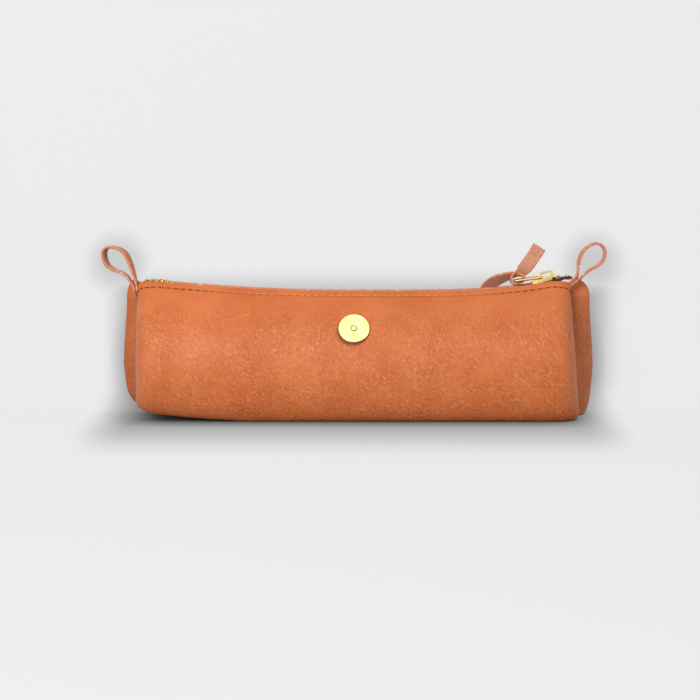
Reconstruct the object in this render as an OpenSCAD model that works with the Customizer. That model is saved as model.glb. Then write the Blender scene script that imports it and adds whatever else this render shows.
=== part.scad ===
// Leather pen case with a metal zip, a loop at each end and a riveted brass disc.
// Frame: the origin is the middle of the base, +X runs to the closed end of the zip,
// -Y is the front with the disc, and +Z is up.

/* [Leather body] */
// Length of the straight wall between the two rounded ends
wall_len = 192; // [170:1:240]
// Height of the leather edge at both ends of the straight wall
case_h = 67.4; // [60:0.2:80]
// How far the leather edge sags at the middle of the mouth
sag = 4.9; // [0:0.1:7]
// Half of the depth where the case is fullest
half_depth = 28; // [24:0.5:34]
// Height at which the case is fullest
full_h = 24; // [18:1:28]
// Half of the depth of the flat base
base_half = 17; // [12:0.5:21]
// Half of the distance between the outer leather edges of the mouth
mouth_half = 6.5; // [6.2:0.1:8]
// Thickness of the leather
hide_t = 1.4; // [1:0.1:1.8]
// Height of the line at which the upper walls bend open
hinge_h = 34; // [30:1:38]

/* [Folded ends] */
// How far the end seam stands beyond the straight wall where the zip ends
seam_out = 9.4; // [7:0.2:12]
// How far the seam is drawn in at mid height
seam_draw = 3.5; // [1:0.5:6]
// How far the front fold stands beyond the seam at the left end
front_fold_left_out = 1; // [0:0.2:6]
// How far the front fold stands beyond the seam at the right end
front_fold_right_out = 5.4; // [1:0.2:8]
// How far the back fold stands beyond the seam at the left end
back_fold_left_out = 9.6; // [5:0.2:14]
// How far the back fold stands beyond the seam at the right end
back_fold_right_out = 14.2; // [8:0.2:18]
// How far the back folds are drawn in again towards the base
back_foot_in = 2.4; // [0:0.2:5]
// Height over which the front folds roll under to the base
front_toe_h = 5; // [3:0.5:14]
// Height over which the back folds roll under to the base
back_toe_h = 9; // [5:0.5:14]
// How far the base rises at the left end of the straight wall
left_lift = 3.4; // [0:0.2:5]
// How far the leather edge dips to each end seam
dip = 5.5; // [2:0.5:8]
// How far the back folds puff up before they roll over to the mouth
roll_rise = 3.6; // [0:0.2:4]
// Depth of the seam allowance inside each end
allowance = 6; // [3:0.5:8]

/* [Zip] */
// Distance between two teeth on one side
tooth_pitch = 2.6; // [2.4:0.1:3.4]
// Thickness of a tooth along the zip
tooth_t = 1.1; // [0.8:0.05:1.15]
// Height of a tooth
tooth_h = 2.4; // [1.8:0.1:2.6]
// Width of the toothed chain from side to side
chain_w = 5.6; // [5:0.1:6]
// Thickness of the tape
tape_t = 0.6; // [0.4:0.05:0.7]
// How far the tape reaches down inside the leather
tape_sewn = 8; // [5:0.5:10]
// How far the chain lies below the leather edge
chain_sink = 1.9; // [1:0.1:2.5]
// How far the chain rises at its closed end
chain_rise = 3.4; // [0:0.1:4]
// How far the chain rises at its other end
chain_start_rise = 0.9; // [0:0.1:2]
// Length of the slider
slider_len = 12.6; // [10:0.2:14]
// Width of the slider
slider_w = 8.8; // [8.4:0.1:9]
// Distance from the end seam back to the middle of the slider when the zip is closed
slider_back = 12; // [10.4:0.2:15]
// Thickness of the slider's plates
plate_t = 1; // [0.7:0.05:1.3]
// Diameter of the wire of the pull link
wire_d = 1.3; // [1:0.05:1.5]
// Length of the pull link from pin to end bar
link_len = 13; // [11:0.5:16]
// Width of the pull link between wire middles
link_w = 7.6; // [6.6:0.1:8.4]

/* [Straps] */
// Width of the leather strips
strip_w = 7; // [5:0.2:7.4]
// Thickness of the leather strips
strip_t = 1.3; // [0.9:0.05:1.5]

/* [Disc] */
// Diameter of the brass disc
disc_d = 15; // [11:0.5:18]
// Thickness of the brass disc
disc_t = 1; // [0.6:0.1:1.5]
// Diameter of the ring cut round the rivet's head
ring_d = 4.4; // [3.4:0.1:6]
// Height of the middle of the disc
disc_h = 45; // [43:0.5:48]
// Diameter of the rivet's stem
rivet_d = 2.6; // [1.8:0.1:3]
// Diameter of the washer inside the case
washer_d = 7; // [5:0.5:9]
// Thickness of the washer
washer_t = 0.7; // [0.5:0.1:1]

/* [Thread] */
// Distance between stitches
stitch_pitch = 3.6; // [3:0.1:5]
// Length of one stitch
stitch_len = 2.7; // [2:0.1:2.9]
// Diameter of the thread
thread_d = 0.6; // [0.4:0.05:0.8]
// Distance of the stitches below the leather edge
stitch_drop = 4.2; // [3:0.1:6]

/* [Hidden] */
$fn = 32;

hide_colour = [0.80, 0.42, 0.22];
flesh_colour = [0.80, 0.53, 0.40];
brass_colour = [0.85, 0.68, 0.30];
tape_colour = [0.30, 0.13, 0.08];
thread_colour = [0.55, 0.25, 0.11];

wall_half = wall_len / 2;
seam_top_x = wall_half + seam_out;
front_fold_left_x = seam_top_x + front_fold_left_out;
front_fold_right_x = seam_top_x + front_fold_right_out;
back_fold_left_x = seam_top_x + back_fold_left_out;
back_fold_right_x = seam_top_x + back_fold_right_out;
slider_x = seam_top_x - slider_back;
seat = 0.1;          // clearance between pieces that lie on each other
part_gap = 0.3;      // clearance between the walls and the lips that bend away from them
overrun = 2;         // how far a cutting solid passes the surface it cuts

left_sag_power = 2;
right_sag_power = 4;
// Shares of the wall's curve between its fullest point and the leather edge
wall_low_share = 0.45;
wall_top_depth_share = 0.535;
wall_top_rise_share = 0.262;
// Depth shares at which the folded ends are drawn, from the front to the back
fold_shares = [-1, -0.97, -0.9, -0.78, -0.62, -0.45, -0.3, -0.17, -0.08, 0,
    0.08, 0.17, 0.3, 0.45, 0.62, 0.78, 0.9, 0.97, 1];
fold_power = 2.6;    // squareness of the folded ends
front_crease_share = 0.24;
back_crease_share = 0.34;
dip_power = 4;
front_full_share = 0.955;   // how much of the drawn length each fold keeps past its rounding
back_full_share = 0.87;
left_base_share = 0.45;     // how far each end of the flat base reaches towards its folds
right_base_share = 0.8;
toe_blend_share = 0.3;
lift_start = wall_half * 0.5;
toe_rows = 6;
wall_rows = 12;
roll_from = 0.75;    // the share of the wall's curve at which the back folds begin to roll over
roll_wait_share = 0.4;
puff_from_share = 0.3;    // the depth shares between which the rolled folds puff up
puff_full_share = 0.6;
front_taper_power = 0.6;
side_cols = 12;

function smooth(t) = let (c = min(max(t, 0), 1)) c * c * (3 - 2 * c);
function mix(a, b, t) = a + (b - a) * t;
function unit(v) = v / norm(v);
function curve(a, b, c, d, t) =
    a * pow(1 - t, 3) + b * 3 * t * pow(1 - t, 2) + c * 3 * t * t * (1 - t) + d * pow(t, 3);

// Outer half section of the case as [depth, height]. v runs from -1 at the edge of the
// flat base through 0 at the fullest point to 1 at the leather edge of the mouth.
function profile(v) = v < 0
    ? [mix(base_half, half_depth, sin(90 * (v + 1))), full_h * (1 - cos(90 * (v + 1)))]
    : curve([half_depth, full_h],
            [half_depth, mix(full_h, case_h, wall_low_share)],
            [mix(mouth_half, half_depth, wall_top_depth_share), mix(case_h, full_h, wall_top_rise_share)],
            [mouth_half, case_h], v);

// A height above the hinge line, drawn down so that the leather edge ends at top.
function drawn(z, top) = z <= hinge_h ? z : hinge_h + (z - hinge_h) * (top - hinge_h) / (case_h - hinge_h);
function edge_h(x) =
    case_h - sag * (1 - pow(min(abs(x), wall_half) / wall_half, x < 0 ? left_sag_power : right_sag_power));

// A point of the straight walls: dir is -1 on the front and 1 on the back.
function wall_pt(dir, x, v) = let (p = profile(v)) [x, dir * p[0], drawn(p[1], edge_h(x))];
function wall_normal(dir, x, v) =
    let (step = 0.02, a = wall_pt(dir, x, v - step), b = wall_pt(dir, x, v + step), t = unit(b - a))
    [0, dir * t[2], -dir * t[1]];
// A point at a distance from the outer face, where a plus sign is outside the case.
function wall_off(dir, x, v, off) = wall_pt(dir, x, v) + wall_normal(dir, x, v) * off;
// The share of the wall's curve that lies a distance below the leather edge.
bow_share = 0.96;    // the straight line over the bowed wall
function below_edge(dist) = 1 - dist / norm([half_depth - mouth_half, case_h - full_h]) * bow_share;

// The folded ends: side is -1 on the left and 1 on the right, q is the depth share.
function toe_h(q) = mix(front_toe_h, back_toe_h, smooth((q + toe_blend_share) / (2 * toe_blend_share)));
function reach(side, q, z) =
    let (base = side < 0 ? left_base_share : right_base_share)
    base + (1 - base) * sqrt(1 - pow(1 - min(z / toe_h(q), 1), 2));
function seam_x(z) = seam_top_x - seam_draw * sin(180 * min(z, case_h) / case_h);
function front_fold_x(side, z) =
    mix(side < 0 ? front_fold_left_x : front_fold_right_x, seam_top_x, pow(z / case_h, front_taper_power));
function back_fold_x(side, z) =
    (side < 0 ? back_fold_left_x : back_fold_right_x) - seam_draw * smooth((z - full_h) / (case_h - full_h))
    - back_foot_in * (1 - smooth(z / full_h));
// The back folds roll over at their top and come back to the end of the mouth.
function rolled(v) = max(0, v - roll_from) / (1 - roll_from);
function end_x(side, q, z, roll) =
    let (turn = smooth((roll - roll_wait_share) / (1 - roll_wait_share)),
         peak = q < 0 ? front_fold_x(side, z) : mix(back_fold_x(side, z), seam_top_x, turn),
         kept = q < 0 ? front_full_share : mix(back_full_share, front_full_share, turn),
         full = wall_half + (peak - wall_half) / kept,
         crease = q < 0 ? front_crease_share : back_crease_share,
         round = pow(max(0, 1 - pow(abs(q), fold_power)), 1 / fold_power),
         drawn_in = (full - seam_x(z)) * exp(-pow(q / crease, 2)))
    wall_half + ((full - wall_half) * round - drawn_in) * reach(side, q, z);
function end_pt(side, q, v) =
    let (p = profile(v), roll = rolled(v), low = 1 - pow(abs(q), dip_power),
         top = case_h - dip * low * (q < 0 ? 1 : smooth(roll)),
         puffed = smooth((q - puff_from_share) / (puff_full_share - puff_from_share)),
         puff = roll_rise * low * sin(180 * roll) * puffed)
    [side * end_x(side, q, p[1], roll), q * p[0], drawn(p[1], top) + puff];
// The base rises gently towards the left end, and the rise fades out up the walls.
function lifted(p) =
    let (run = max(0, -p[0] - lift_start) / (wall_half - lift_start))
    p + [0, 0, left_lift * pow(run, 1.5) * (1 - smooth(p[2] / hinge_h))];

// One closed ring of the outer face at height share v, anticlockwise seen from above.
function ring(v) = concat(
    [for (i = [0 : side_cols - 1]) wall_pt(-1, mix(-wall_half, wall_half, i / side_cols), v)],
    [for (i = [0 : len(fold_shares) - 2]) end_pt(1, fold_shares[i], v)],
    [for (i = [0 : side_cols - 1]) wall_pt(1, mix(wall_half, -wall_half, i / side_cols), v)],
    [for (i = [0 : len(fold_shares) - 2]) end_pt(-1, -fold_shares[i], v)]);
row_shares = concat([for (i = [0 : toe_rows - 1]) i / toe_rows - 1],
    [for (i = [0 : wall_rows]) i / wall_rows]);
outer_rings = [for (v = row_shares) [for (p = ring(v)) lifted(p)]];
cols = len(outer_rings[0]);
rows = len(row_shares);
function outward(r, c) = r == 0 ? [0, 0, -1] :
    let (across = outer_rings[r][(c + 1) % cols] - outer_rings[r][(c + cols - 1) % cols],
         up = outer_rings[min(r + 1, rows - 1)][c] - outer_rings[r - 1][c])
    unit(cross(across, up));
inner_rings = [for (r = [0 : rows - 1]) [for (c = [0 : cols - 1]) outer_rings[r][c] - outward(r, c) * hide_t]];

// The whole bent sheet of leather, before the lips are cut from it.
module sheet_shell() {
    count = rows * cols;
    points = concat([for (ring = outer_rings) each ring], [for (ring = inner_rings) each ring],
        [[0, 0, 0], [0, 0, hide_t]]);
    walls = [for (r = [0 : rows - 2]) for (c = [0 : cols - 1])
        let (a = r * cols + c, b = r * cols + (c + 1) % cols)
        each [[a, a + cols, b + cols], [a, b + cols, b],
              [count + a, count + b + cols, count + a + cols], [count + a, count + b, count + b + cols]]];
    edge = [for (c = [0 : cols - 1])
        let (a = (rows - 1) * cols + c, b = (rows - 1) * cols + (c + 1) % cols)
        each [[a, count + a, count + b], [a, count + b, b]]];
    base = [for (c = [0 : cols - 1])
        let (b = (c + 1) % cols)
        each [[2 * count, c, b], [2 * count + 1, count + b, count + c]]];
    polyhedron(points, concat(walls, edge, base), convexity = 8);
}

// The window in one wall that its lip fills, made smaller all round by inset.
module lip_window(dir, inset) {
    translate([-wall_half + inset, dir > 0 ? 0 : -half_depth - overrun, hinge_h + inset])
        cube([wall_len - 2 * inset, half_depth + overrun, case_h]);
}

// The doubled seam allowance that stands inwards at each end.
root_share = 0.6;
seam_row_share = 0.35;    // where the seam's stitches run across the allowance
module seam_allowance(side) {
    steps = [for (i = [0 : 10]) mix(back_toe_h, case_h - dip - hide_t, i / 10)];
    root = hide_t * root_share;
    inner = allowance + hide_t;
    points = [for (z = steps) for (p = [[root, -1], [root, 1], [inner, 1], [inner, -1]])
        [side * (seam_x(z) - p[0]), p[1] * hide_t, z]];
    last = len(points) - 4;
    faces = concat([[0, 1, 2], [0, 2, 3], [last, last + 2, last + 1], [last, last + 3, last + 2]],
        [for (k = [0 : len(steps) - 2]) for (e = [0 : 3])
            let (a = 4 * k + e, b = 4 * k + (e + 1) % 4) each [[a, a + 4, b + 4], [a, b + 4, b]]]);
    polyhedron(points, side < 0 ? [for (f = faces) [f[2], f[1], f[0]]] : faces, convexity = 4);
}

module leather_body() {
    color(hide_colour) {
        difference() {
            sheet_shell();
            lip_window(-1, 0);
            lip_window(1, 0);
        }
        for (side = [-1, 1])
            seam_allowance(side);
    }
}

module front_lip() {
    color(hide_colour) difference() {
        intersection() {
            sheet_shell();
            lip_window(-1, part_gap);
        }
        disc_frame() cylinder(d = rivet_d + 2 * seat, h = 4 * hide_t, center = true);
    }
}

module back_lip() {
    color(hide_colour) intersection() {
        sheet_shell();
        lip_window(1, part_gap);
    }
}

// Height of the middle of the chain: it dips below the leather edge and rises at its closed end.
chain_rise_start = wall_half * 0.9;
chain_fall_end = wall_half * 0.8;
function chain_h(x) = edge_h(x) - chain_sink
    + chain_rise * smooth((x - chain_rise_start) / (seam_top_x - chain_rise_start))
    + chain_start_rise * smooth((-x - chain_fall_end) / (wall_half - chain_fall_end));
function chain_slope(x) = (chain_h(x + tooth_t) - chain_h(x - tooth_t)) / (2 * tooth_t);
chain_start = -wall_half - 2.5 * tooth_pitch;    // where the tapes begin and end, past the straight wall
chain_end = seam_top_x + 0.3 * tooth_pitch;
tape_slack = 0.5;      // room between the slider and the turned tape
end_slack = 0.4;       // room beside the teeth at the ends of the tape
slot_half = slider_w / 2 + tape_slack;    // where the tape turns down beside the slider
end_half = chain_w / 2 + end_slack;       // half width of the zip at its two ends
tape_end_share = 0.15;             // how much of the sewn part of the tape is left there
end_drop = 0.9;                    // how far the tape hangs below the chain there
// Past the slider the two sides of the open chain stand apart.
tape_edge = 1.5 * tape_t;    // distance of the tape's woven edge from the middle of the chain
function parting(x) = tape_edge * smooth((x - slider_x) / (0.25 * slider_len) - 1);

// Middle line of the tape across the zip, from its sewn edge to the teeth.
function tape_line(dir, x) =
    let (back = -(hide_t + 2 * seat + tape_t / 2), at = min(max(x, -wall_half), wall_half),
         past = (abs(x) - wall_half) / (seam_top_x - wall_half),
         narrow = smooth(1.6 * past), flat_narrow = smooth(1.2 * past - 0.2),
         tuck = max(0, edge_h(at) - chain_h(at) - tape_t),
         end = smooth((abs(x) - wall_half) / tape_sewn + 1),
         low = below_edge(mix(tape_sewn, tuck + tape_sewn * tape_end_share, end)),
         low_pt = wall_off(dir, at, low, back),
         mid_pt = wall_off(dir, at, (low + below_edge(tuck)) / 2, back),
         top_pt = wall_off(dir, at, below_edge(tuck), back),
         sewn = [low_pt, mid_pt, top_pt], out = dir * (end_half + parting(x)))
    concat([for (k = [0 : 2])
            [x, mix(sewn[k][1], out, narrow), mix(sewn[k][2], chain_h(x) - end_drop * (3 - k) / 3, narrow)]],
        [[x, mix(dir * slot_half, out, flat_narrow), chain_h(x)],
         [x, dir * (tape_edge + parting(x)), chain_h(x)]]);

// A strip of even thickness laid along stations, each a list of points in the same order.
module strip_mesh(stations, normals, thickness) {
    n = len(stations[0]);
    section = [for (k = [0 : len(stations) - 1]) concat(
        [for (i = [0 : n - 1]) stations[k][i] + normals[k][i] * thickness / 2],
        [for (i = [n - 1 : -1 : 0]) stations[k][i] - normals[k][i] * thickness / 2])];
    m = 2 * n;
    last = m * (len(stations) - 1);
    points = [for (s = section) each s];
    side_faces = [for (k = [0 : len(stations) - 2]) for (i = [0 : m - 1])
        let (a = k * m + i, b = k * m + (i + 1) % m) each [[a, b, b + m], [a, b + m, a + m]]];
    cap = [for (i = [0 : n - 2]) each [[i, m - 2 - i, i + 1], [i, m - 1 - i, m - 2 - i]]];
    far_cap = [for (f = cap) [last + f[2], last + f[1], last + f[0]]];
    polyhedron(points, concat(side_faces, cap, far_cap), convexity = 6);
}

module zip_tape(dir) {
    cols_x = concat([for (i = [0 : 3]) mix(chain_start, -wall_half, i / 4)],
        [for (i = [0 : 48]) mix(-wall_half, wall_half, i / 48)],
        [for (i = [1 : 4]) mix(wall_half, chain_end, i / 4)]);
    lines = [for (x = cols_x) tape_line(dir, x)];
    normals = [for (line = lines) [for (i = [0 : len(line) - 1])
        let (t = unit(line[min(i + 1, len(line) - 1)] - line[max(i - 1, 0)]))
        [0, -dir * t[2], dir * t[1]] * dir]];
    color(tape_colour) strip_mesh(lines, normals, tape_t);
}

module front_zip_tape() { zip_tape(-1); }
module back_zip_tape() { zip_tape(1); }

// One metal tooth: a jaw on the tape's edge and a head that reaches past the middle.
head_share = 0.24;
head_height_share = 0.7;
head_length_share = 0.8;
module tooth(dir) {
    head_w = tooth_t * head_length_share;
    jaw = tape_t + 2 * seat;
    reach_in = chain_w / 2 * head_share;
    difference() {
        union() {
            translate([-tooth_t / 2, min(0, dir * chain_w / 2), -tooth_h / 2])
                cube([tooth_t, chain_w / 2, tooth_h]);
            translate([-head_w / 2, min(0, -dir * reach_in), -tooth_h * head_height_share / 2])
                cube([head_w, reach_in, tooth_h * head_height_share]);
        }
        translate([-overrun / 2, dir > 0 ? tape_t / 2 : -tape_t / 2 - chain_w, -jaw / 2])
            cube([overrun, chain_w, jaw]);
    }
}

// The stretch of the slider, from its middle, in which the parted teeth are hidden
hidden_from_share = 0.27;
hidden_to_share = 0.6;
teeth = floor((chain_end - chain_start - 2.4 * tooth_pitch) / tooth_pitch);
function tooth_x(dir, i) = chain_start + 1.5 * tooth_pitch + i * tooth_pitch + (dir > 0 ? tooth_pitch / 2 : 0);

module zip_teeth(dir) {
    // The parted teeth inside the slider are left out.
    color(brass_colour) for (i = [0 : teeth - 1]) {
        x = tooth_x(dir, i);
        past = (x - slider_x) / slider_len;
        if (past < hidden_from_share || past > hidden_to_share)
            translate([x, dir * parting(x), chain_h(x)])
                rotate([0, -atan(chain_slope(x)), 0])
                    tooth(dir);
    }
}

module front_zip_teeth() { zip_teeth(-1); }
module back_zip_teeth() { zip_teeth(1); }

// A stop is a short metal clip round the tape's edge, past the last tooth.
stop_len_share = 0.65;
stop_len = tooth_pitch * stop_len_share;
module stop_clip(x) {
    translate([x, 0, chain_h(x)]) rotate([0, -atan(chain_slope(x)), 0]) children();
}
module stop_slot(dir) {
    translate([-overrun, dir > 0 ? tape_t / 2 : -tape_t / 2 - chain_w, -tape_t / 2 - seat])
        cube([2 * overrun, chain_w, tape_t + 2 * seat]);
}

module bottom_stop() {
    color(brass_colour) stop_clip(tooth_x(-1, 0) - tooth_pitch) difference() {
        cube([stop_len, chain_w, tooth_h], center = true);
        stop_slot(-1);
        stop_slot(1);
    }
}

module top_stop(dir) {
    color(brass_colour) stop_clip(chain_end - stop_len) difference() {
        translate([-stop_len / 2, dir > 0 ? seat : -seat - chain_w / 2, -tooth_h / 2])
            cube([stop_len, chain_w / 2, tooth_h]);
        stop_slot(dir);
    }
}
module front_top_stop() { top_stop(-1); }
module back_top_stop() { top_stop(1); }

// The slider: its own frame has the chain's middle line at zero height.
slider_tilt = 18;
plate_clear = 0.35;          // room between the teeth and the slider's plates and flanges
flange_gap = tape_t + 0.9;    // height of the slot between the flanges
plate_gap = tooth_h / 2 + plate_clear;
plate_top = plate_gap + plate_t;
module slider_frame() {
    translate([slider_x, 0, chain_h(slider_x)]) rotate([0, -slider_tilt, 0]) children();
}

// Half widths of the slider at its tail and nose, and lengths of its nose and of the nose's slope.
tail_share = 0.36;
tip_share = 0.38;
nose_share = 0.42;
slope_share = 0.105;
module slider_outline() {
    corners = [[-0.5, tail_share], [0.5 - nose_share, 0.5], [0.5 - slope_share, 0.5], [0.5, tip_share]];
    polygon(concat(
        [for (c = corners) [c[0] * slider_len, -c[1] * slider_w]],
        [for (i = [3 : -1 : 0]) [corners[i][0] * slider_len, corners[i][1] * slider_w]]));
}

flange_back_share = 0.48;
flange_len_share = 0.76;
module slider_body() {
    flange_t = slider_w / 2 - chain_w / 2 - plate_clear;
    color(brass_colour) slider_frame() {
        for (z = [-plate_top, plate_gap])
            translate([0, 0, z]) linear_extrude(plate_t) slider_outline();
        for (half = [-1, 1]) intersection() {
            translate([0, 0, half > 0 ? flange_gap / 2 : -plate_top])
                linear_extrude(plate_top - flange_gap / 2) difference() {
                    slider_outline();
                    square([slider_len + overrun, slider_w - 2 * flange_t], center = true);
                }
            translate([-slider_len * flange_back_share, -slider_w, -plate_top])
                cube([slider_len * flange_len_share, 2 * slider_w, 2 * plate_top]);
        }
        // The wedge between the plates that parts the teeth.
        translate([slider_len / 2 - wire_d, 0, -plate_gap])
            cylinder(d = wire_d, h = 2 * plate_gap);
    }
}

// The bridge over the top plate, with the link's pin under it.
pin_clear = 0.4;       // room over the pin
bridge_inner = wire_d + 2 * seat + pin_clear;
bridge_t = 0.9;
bridge_w = 2.2;
bridge_len_share = 0.62;
bridge_place_share = 0.1;
shoulder_share = 0.4;
bridge_len = slider_len * bridge_len_share;
bridge_x = slider_len * bridge_place_share;
module slider_bridge() {
    color(brass_colour) slider_frame() translate([bridge_x, bridge_w / 2, plate_top]) rotate([90, 0, 0])
        linear_extrude(bridge_w) difference() {
            bridge_side(bridge_len / 2, bridge_inner + bridge_t);
            bridge_side(bridge_len / 2 - bridge_t, bridge_inner);
        }
}
module bridge_side(half, height) {
    shoulder = height * shoulder_share;
    polygon([[-half, 0], [-half, height - shoulder], [-half + shoulder, height], [half - shoulder, height],
        [half, height - shoulder], [half, 0]]);
}

// The pull link turns on a pin under the bridge and lies to the left at rest.
link_tilt = 8;
link_bend_r = 1.1;
function slider_place(p) = [slider_x + p[0] * cos(slider_tilt) - p[2] * sin(slider_tilt), p[1],
    chain_h(slider_x) + p[0] * sin(slider_tilt) + p[2] * cos(slider_tilt)];
pin_x = bridge_x - bridge_len / 2 + bridge_t + wire_d / 2 + seat;
pin_pos = slider_place([pin_x, 0, plate_top + seat + wire_d / 2]);
module pull_link() {
    long_run = link_len - 2 * link_bend_r;
    end_run = link_w - 2 * link_bend_r;
    color(brass_colour) translate(pin_pos) rotate([0, -link_tilt, 0]) {
        for (dir = [-1, 1]) {
            translate([-link_bend_r, dir * link_w / 2, 0]) rotate([0, -90, 0])
                cylinder(d = wire_d, h = long_run);
            translate([-link_bend_r, dir * end_run / 2, 0]) rotate([0, 0, dir > 0 ? 0 : -90]) link_bend();
            translate([link_bend_r - link_len, dir * end_run / 2, 0]) rotate([0, 0, dir > 0 ? 90 : 180])
                link_bend();
        }
        for (x = [-link_len, 0])
            translate([x, end_run / 2, 0]) rotate([90, 0, 0]) cylinder(d = wire_d, h = end_run);
    }
}
module link_bend() {
    rotate_extrude(angle = 90) translate([link_bend_r, 0]) circle(d = wire_d);
}
bar_pos = pin_pos + [-link_len * cos(link_tilt), 0, -link_len * sin(link_tilt)];

// A flat leather strip. Each stop on its path is a place and the direction of its width, whose
// length is the share of the full width, and the path is a smooth curve through the places.
function spline(path, k, t) =
    let (a = path[max(k - 1, 0)], b = path[k], c = path[k + 1], d = path[min(k + 2, len(path) - 1)])
    0.5 * ((2 * b) + (c - a) * t + (2 * a - 5 * b + 4 * c - d) * t * t + (3 * b - a - 3 * c + d) * t * t * t);
function along(path, steps) = concat(
    [for (k = [0 : len(path) - 2]) for (s = [0 : steps - 1]) spline(path, k, s / steps)],
    [path[len(path) - 1]]);

module strip(places, widths, steps, width) {
    line = along(places, steps);
    across = along(widths, steps);
    last = len(line) - 1;
    stations = [for (i = [0 : last])
        let (run = unit(line[min(i + 1, last)] - line[max(i - 1, 0)]),
             w = unit(across[i] - run * (across[i] * run)))
        [line[i] - w * width * norm(across[i]) / 2, line[i] + w * width * norm(across[i]) / 2]];
    normals = [for (i = [0 : last])
        let (run = unit(line[min(i + 1, last)] - line[max(i - 1, 0)]),
             w = unit(across[i] - run * (across[i] * run)), n = cross(run, w)) [n, n]];
    strip_mesh(stations, normals, strip_t);
}

// The loops: places as shares of the loop's length, outwards and upwards from its root.
loop_len = 23;
left_loop_shares = [[-0.031, 0.01], [0.012, 0.181], [0.065, 0.373], [0.139, 0.565], [0.224, 0.714],
    [0.352, 0.803], [0.5, 0.838], [0.628, 0.825], [0.692, 0.735], [0.681, 0.586], [0.607, 0.447],
    [0.479, 0.362], [0.33, 0.309], [0.203, 0.234], [0.118, 0.127], [0.033, -0.011]];
right_loop_shares = [[0.017, -0.01], [0.126, 0.1], [0.239, 0.217], [0.365, 0.326], [0.513, 0.409],
    [0.622, 0.5], [0.678, 0.626], [0.674, 0.761], [0.6, 0.857], [0.478, 0.887], [0.335, 0.826],
    [0.217, 0.713], [0.152, 0.574], [0.126, 0.422], [0.117, 0.283], [0.074, 0.152], [-0.026, 0.035]];
left_loop_root_share = 0.62;
right_loop_root_share = 0.48;
left_loop_root_h = case_h - dip * left_loop_root_share;
right_loop_root_h = case_h - dip * right_loop_root_share;
left_loop_turn = -12;
module loop(side, root_h, shares, turn) {
    places = [for (s = shares) [s[0] * loop_len, 0, s[1] * loop_len]];
    widths = [for (s = shares) [0, 1, 0]];
    color(flesh_colour) translate([side * (seam_top_x + strip_t), 0, root_h])
        rotate([0, 0, turn]) mirror([side < 0 ? 1 : 0, 0, 0]) strip(places, widths, 3, strip_w);
}
module left_loop() { loop(-1, left_loop_root_h, left_loop_shares, left_loop_turn); }
module right_loop() { loop(1, right_loop_root_h, right_loop_shares, 0); }

// The thong that is threaded through the link: places from the end bar of the link, in steps.
thong_step = 1;
thong_end = [[12, -1, 16.6], [8.4, -1, 11], [5.4, -0.8, 6.8], [2.6, -0.3, 4.2], [-0.6, 0, 2.9],
    [-1.9, 0, 0.6], [-1.1, 0, -1.15], [0.8, 0, -1.4], [3, 0, -0.9], [4.4, 0, 0.8]];
thong_end_widths = [[0.87, 0, -0.48], [0.87, 0.05, -0.48], [0.86, 0.2, -0.47], [0.68, 0.6, -0.4],
    [0.15, 0.85, -0.1], [0, 0.82, 0], [0, 0.82, 0], [0, 0.82, 0], [0, 0.82, 0], [0, 0.82, 0]];
thong_tail = [[4.4, 0, 0.8], [4.3, 0.3, 2.2], [2.4, 0.8, 3], [-1.4, 1.8, 2.8], [-5.2, 4.4, 1.4],
    [-8.4, 9, -1], [-11, 13.6, -4.4], [-12.6, 17.4, -8], [-13.4, 20, -12]];
thong_tail_widths = [[0, 0.82, 0], [0, 0.82, 0], [0, 0.83, -0.15], [0, 0.86, -0.4], [0.3, 0.8, -0.5],
    [0.62, 0.6, -0.5], [0.78, 0.42, -0.42], [0.85, 0.36, -0.3], [0.88, 0.34, -0.2]];
module pull_strap() {
    color(flesh_colour) translate(bar_pos) {
        strip(thong_end * thong_step, thong_end_widths, 3, strip_w);
        strip(thong_tail * thong_step, thong_tail_widths, 3, strip_w);
    }
}

// The disc lies on the front lip, square to it, with its rivet through the leather.
disc_rise = 0.25;    // the curved wall falls away from the flat disc
disc_v = disc_share(0, 1);
function disc_share(low, high) = high - low < 0.001 ? low :
    let (mid = (low + high) / 2)
    drawn(profile(mid)[1], edge_h(0)) < disc_h ? disc_share(mid, high) : disc_share(low, mid);
disc_pos = wall_pt(-1, 0, disc_v);
disc_normal = wall_normal(-1, 0, disc_v);
module disc_frame() {
    translate(disc_pos) rotate([acos(disc_normal[2]), 0, 0]) children();
}

bevel_share = 0.25;
dome_share = 0.3;
upset_share = 1.5;    // width of the rivet's spread end
module badge_disc() {
    edge = disc_t * bevel_share;
    color(brass_colour) disc_frame() translate([0, 0, seat + disc_rise]) difference() {
        union() {
            cylinder(d = disc_d, h = disc_t - edge);
            translate([0, 0, disc_t - edge]) cylinder(d1 = disc_d, d2 = disc_d - 2 * edge, h = edge);
        }
        translate([0, 0, -overrun]) cylinder(d = rivet_d + 2 * seat, h = disc_t + 2 * overrun);
        translate([0, 0, disc_t - edge]) cylinder(d = ring_d, h = disc_t);
    }
}

module badge_rivet() {
    inside = hide_t + washer_t + 3 * seat + disc_rise;
    front = seat + disc_rise + disc_t;
    dome = disc_t * dome_share;
    color(brass_colour) disc_frame() {
        translate([0, 0, -inside]) cylinder(d = rivet_d, h = inside + front);
        translate([0, 0, front]) cylinder(d1 = rivet_d, d2 = rivet_d / 2, h = dome);
        translate([0, 0, -inside - washer_t]) cylinder(d1 = rivet_d, d2 = rivet_d * upset_share, h = washer_t);
    }
}

module rivet_washer() {
    below = hide_t + 2 * seat + disc_rise + washer_t;
    color(brass_colour) disc_frame() translate([0, 0, -below]) difference() {
        cylinder(d = washer_d, h = washer_t);
        translate([0, 0, -overrun]) cylinder(d = rivet_d + 2 * seat, h = washer_t + 2 * overrun);
    }
}

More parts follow.
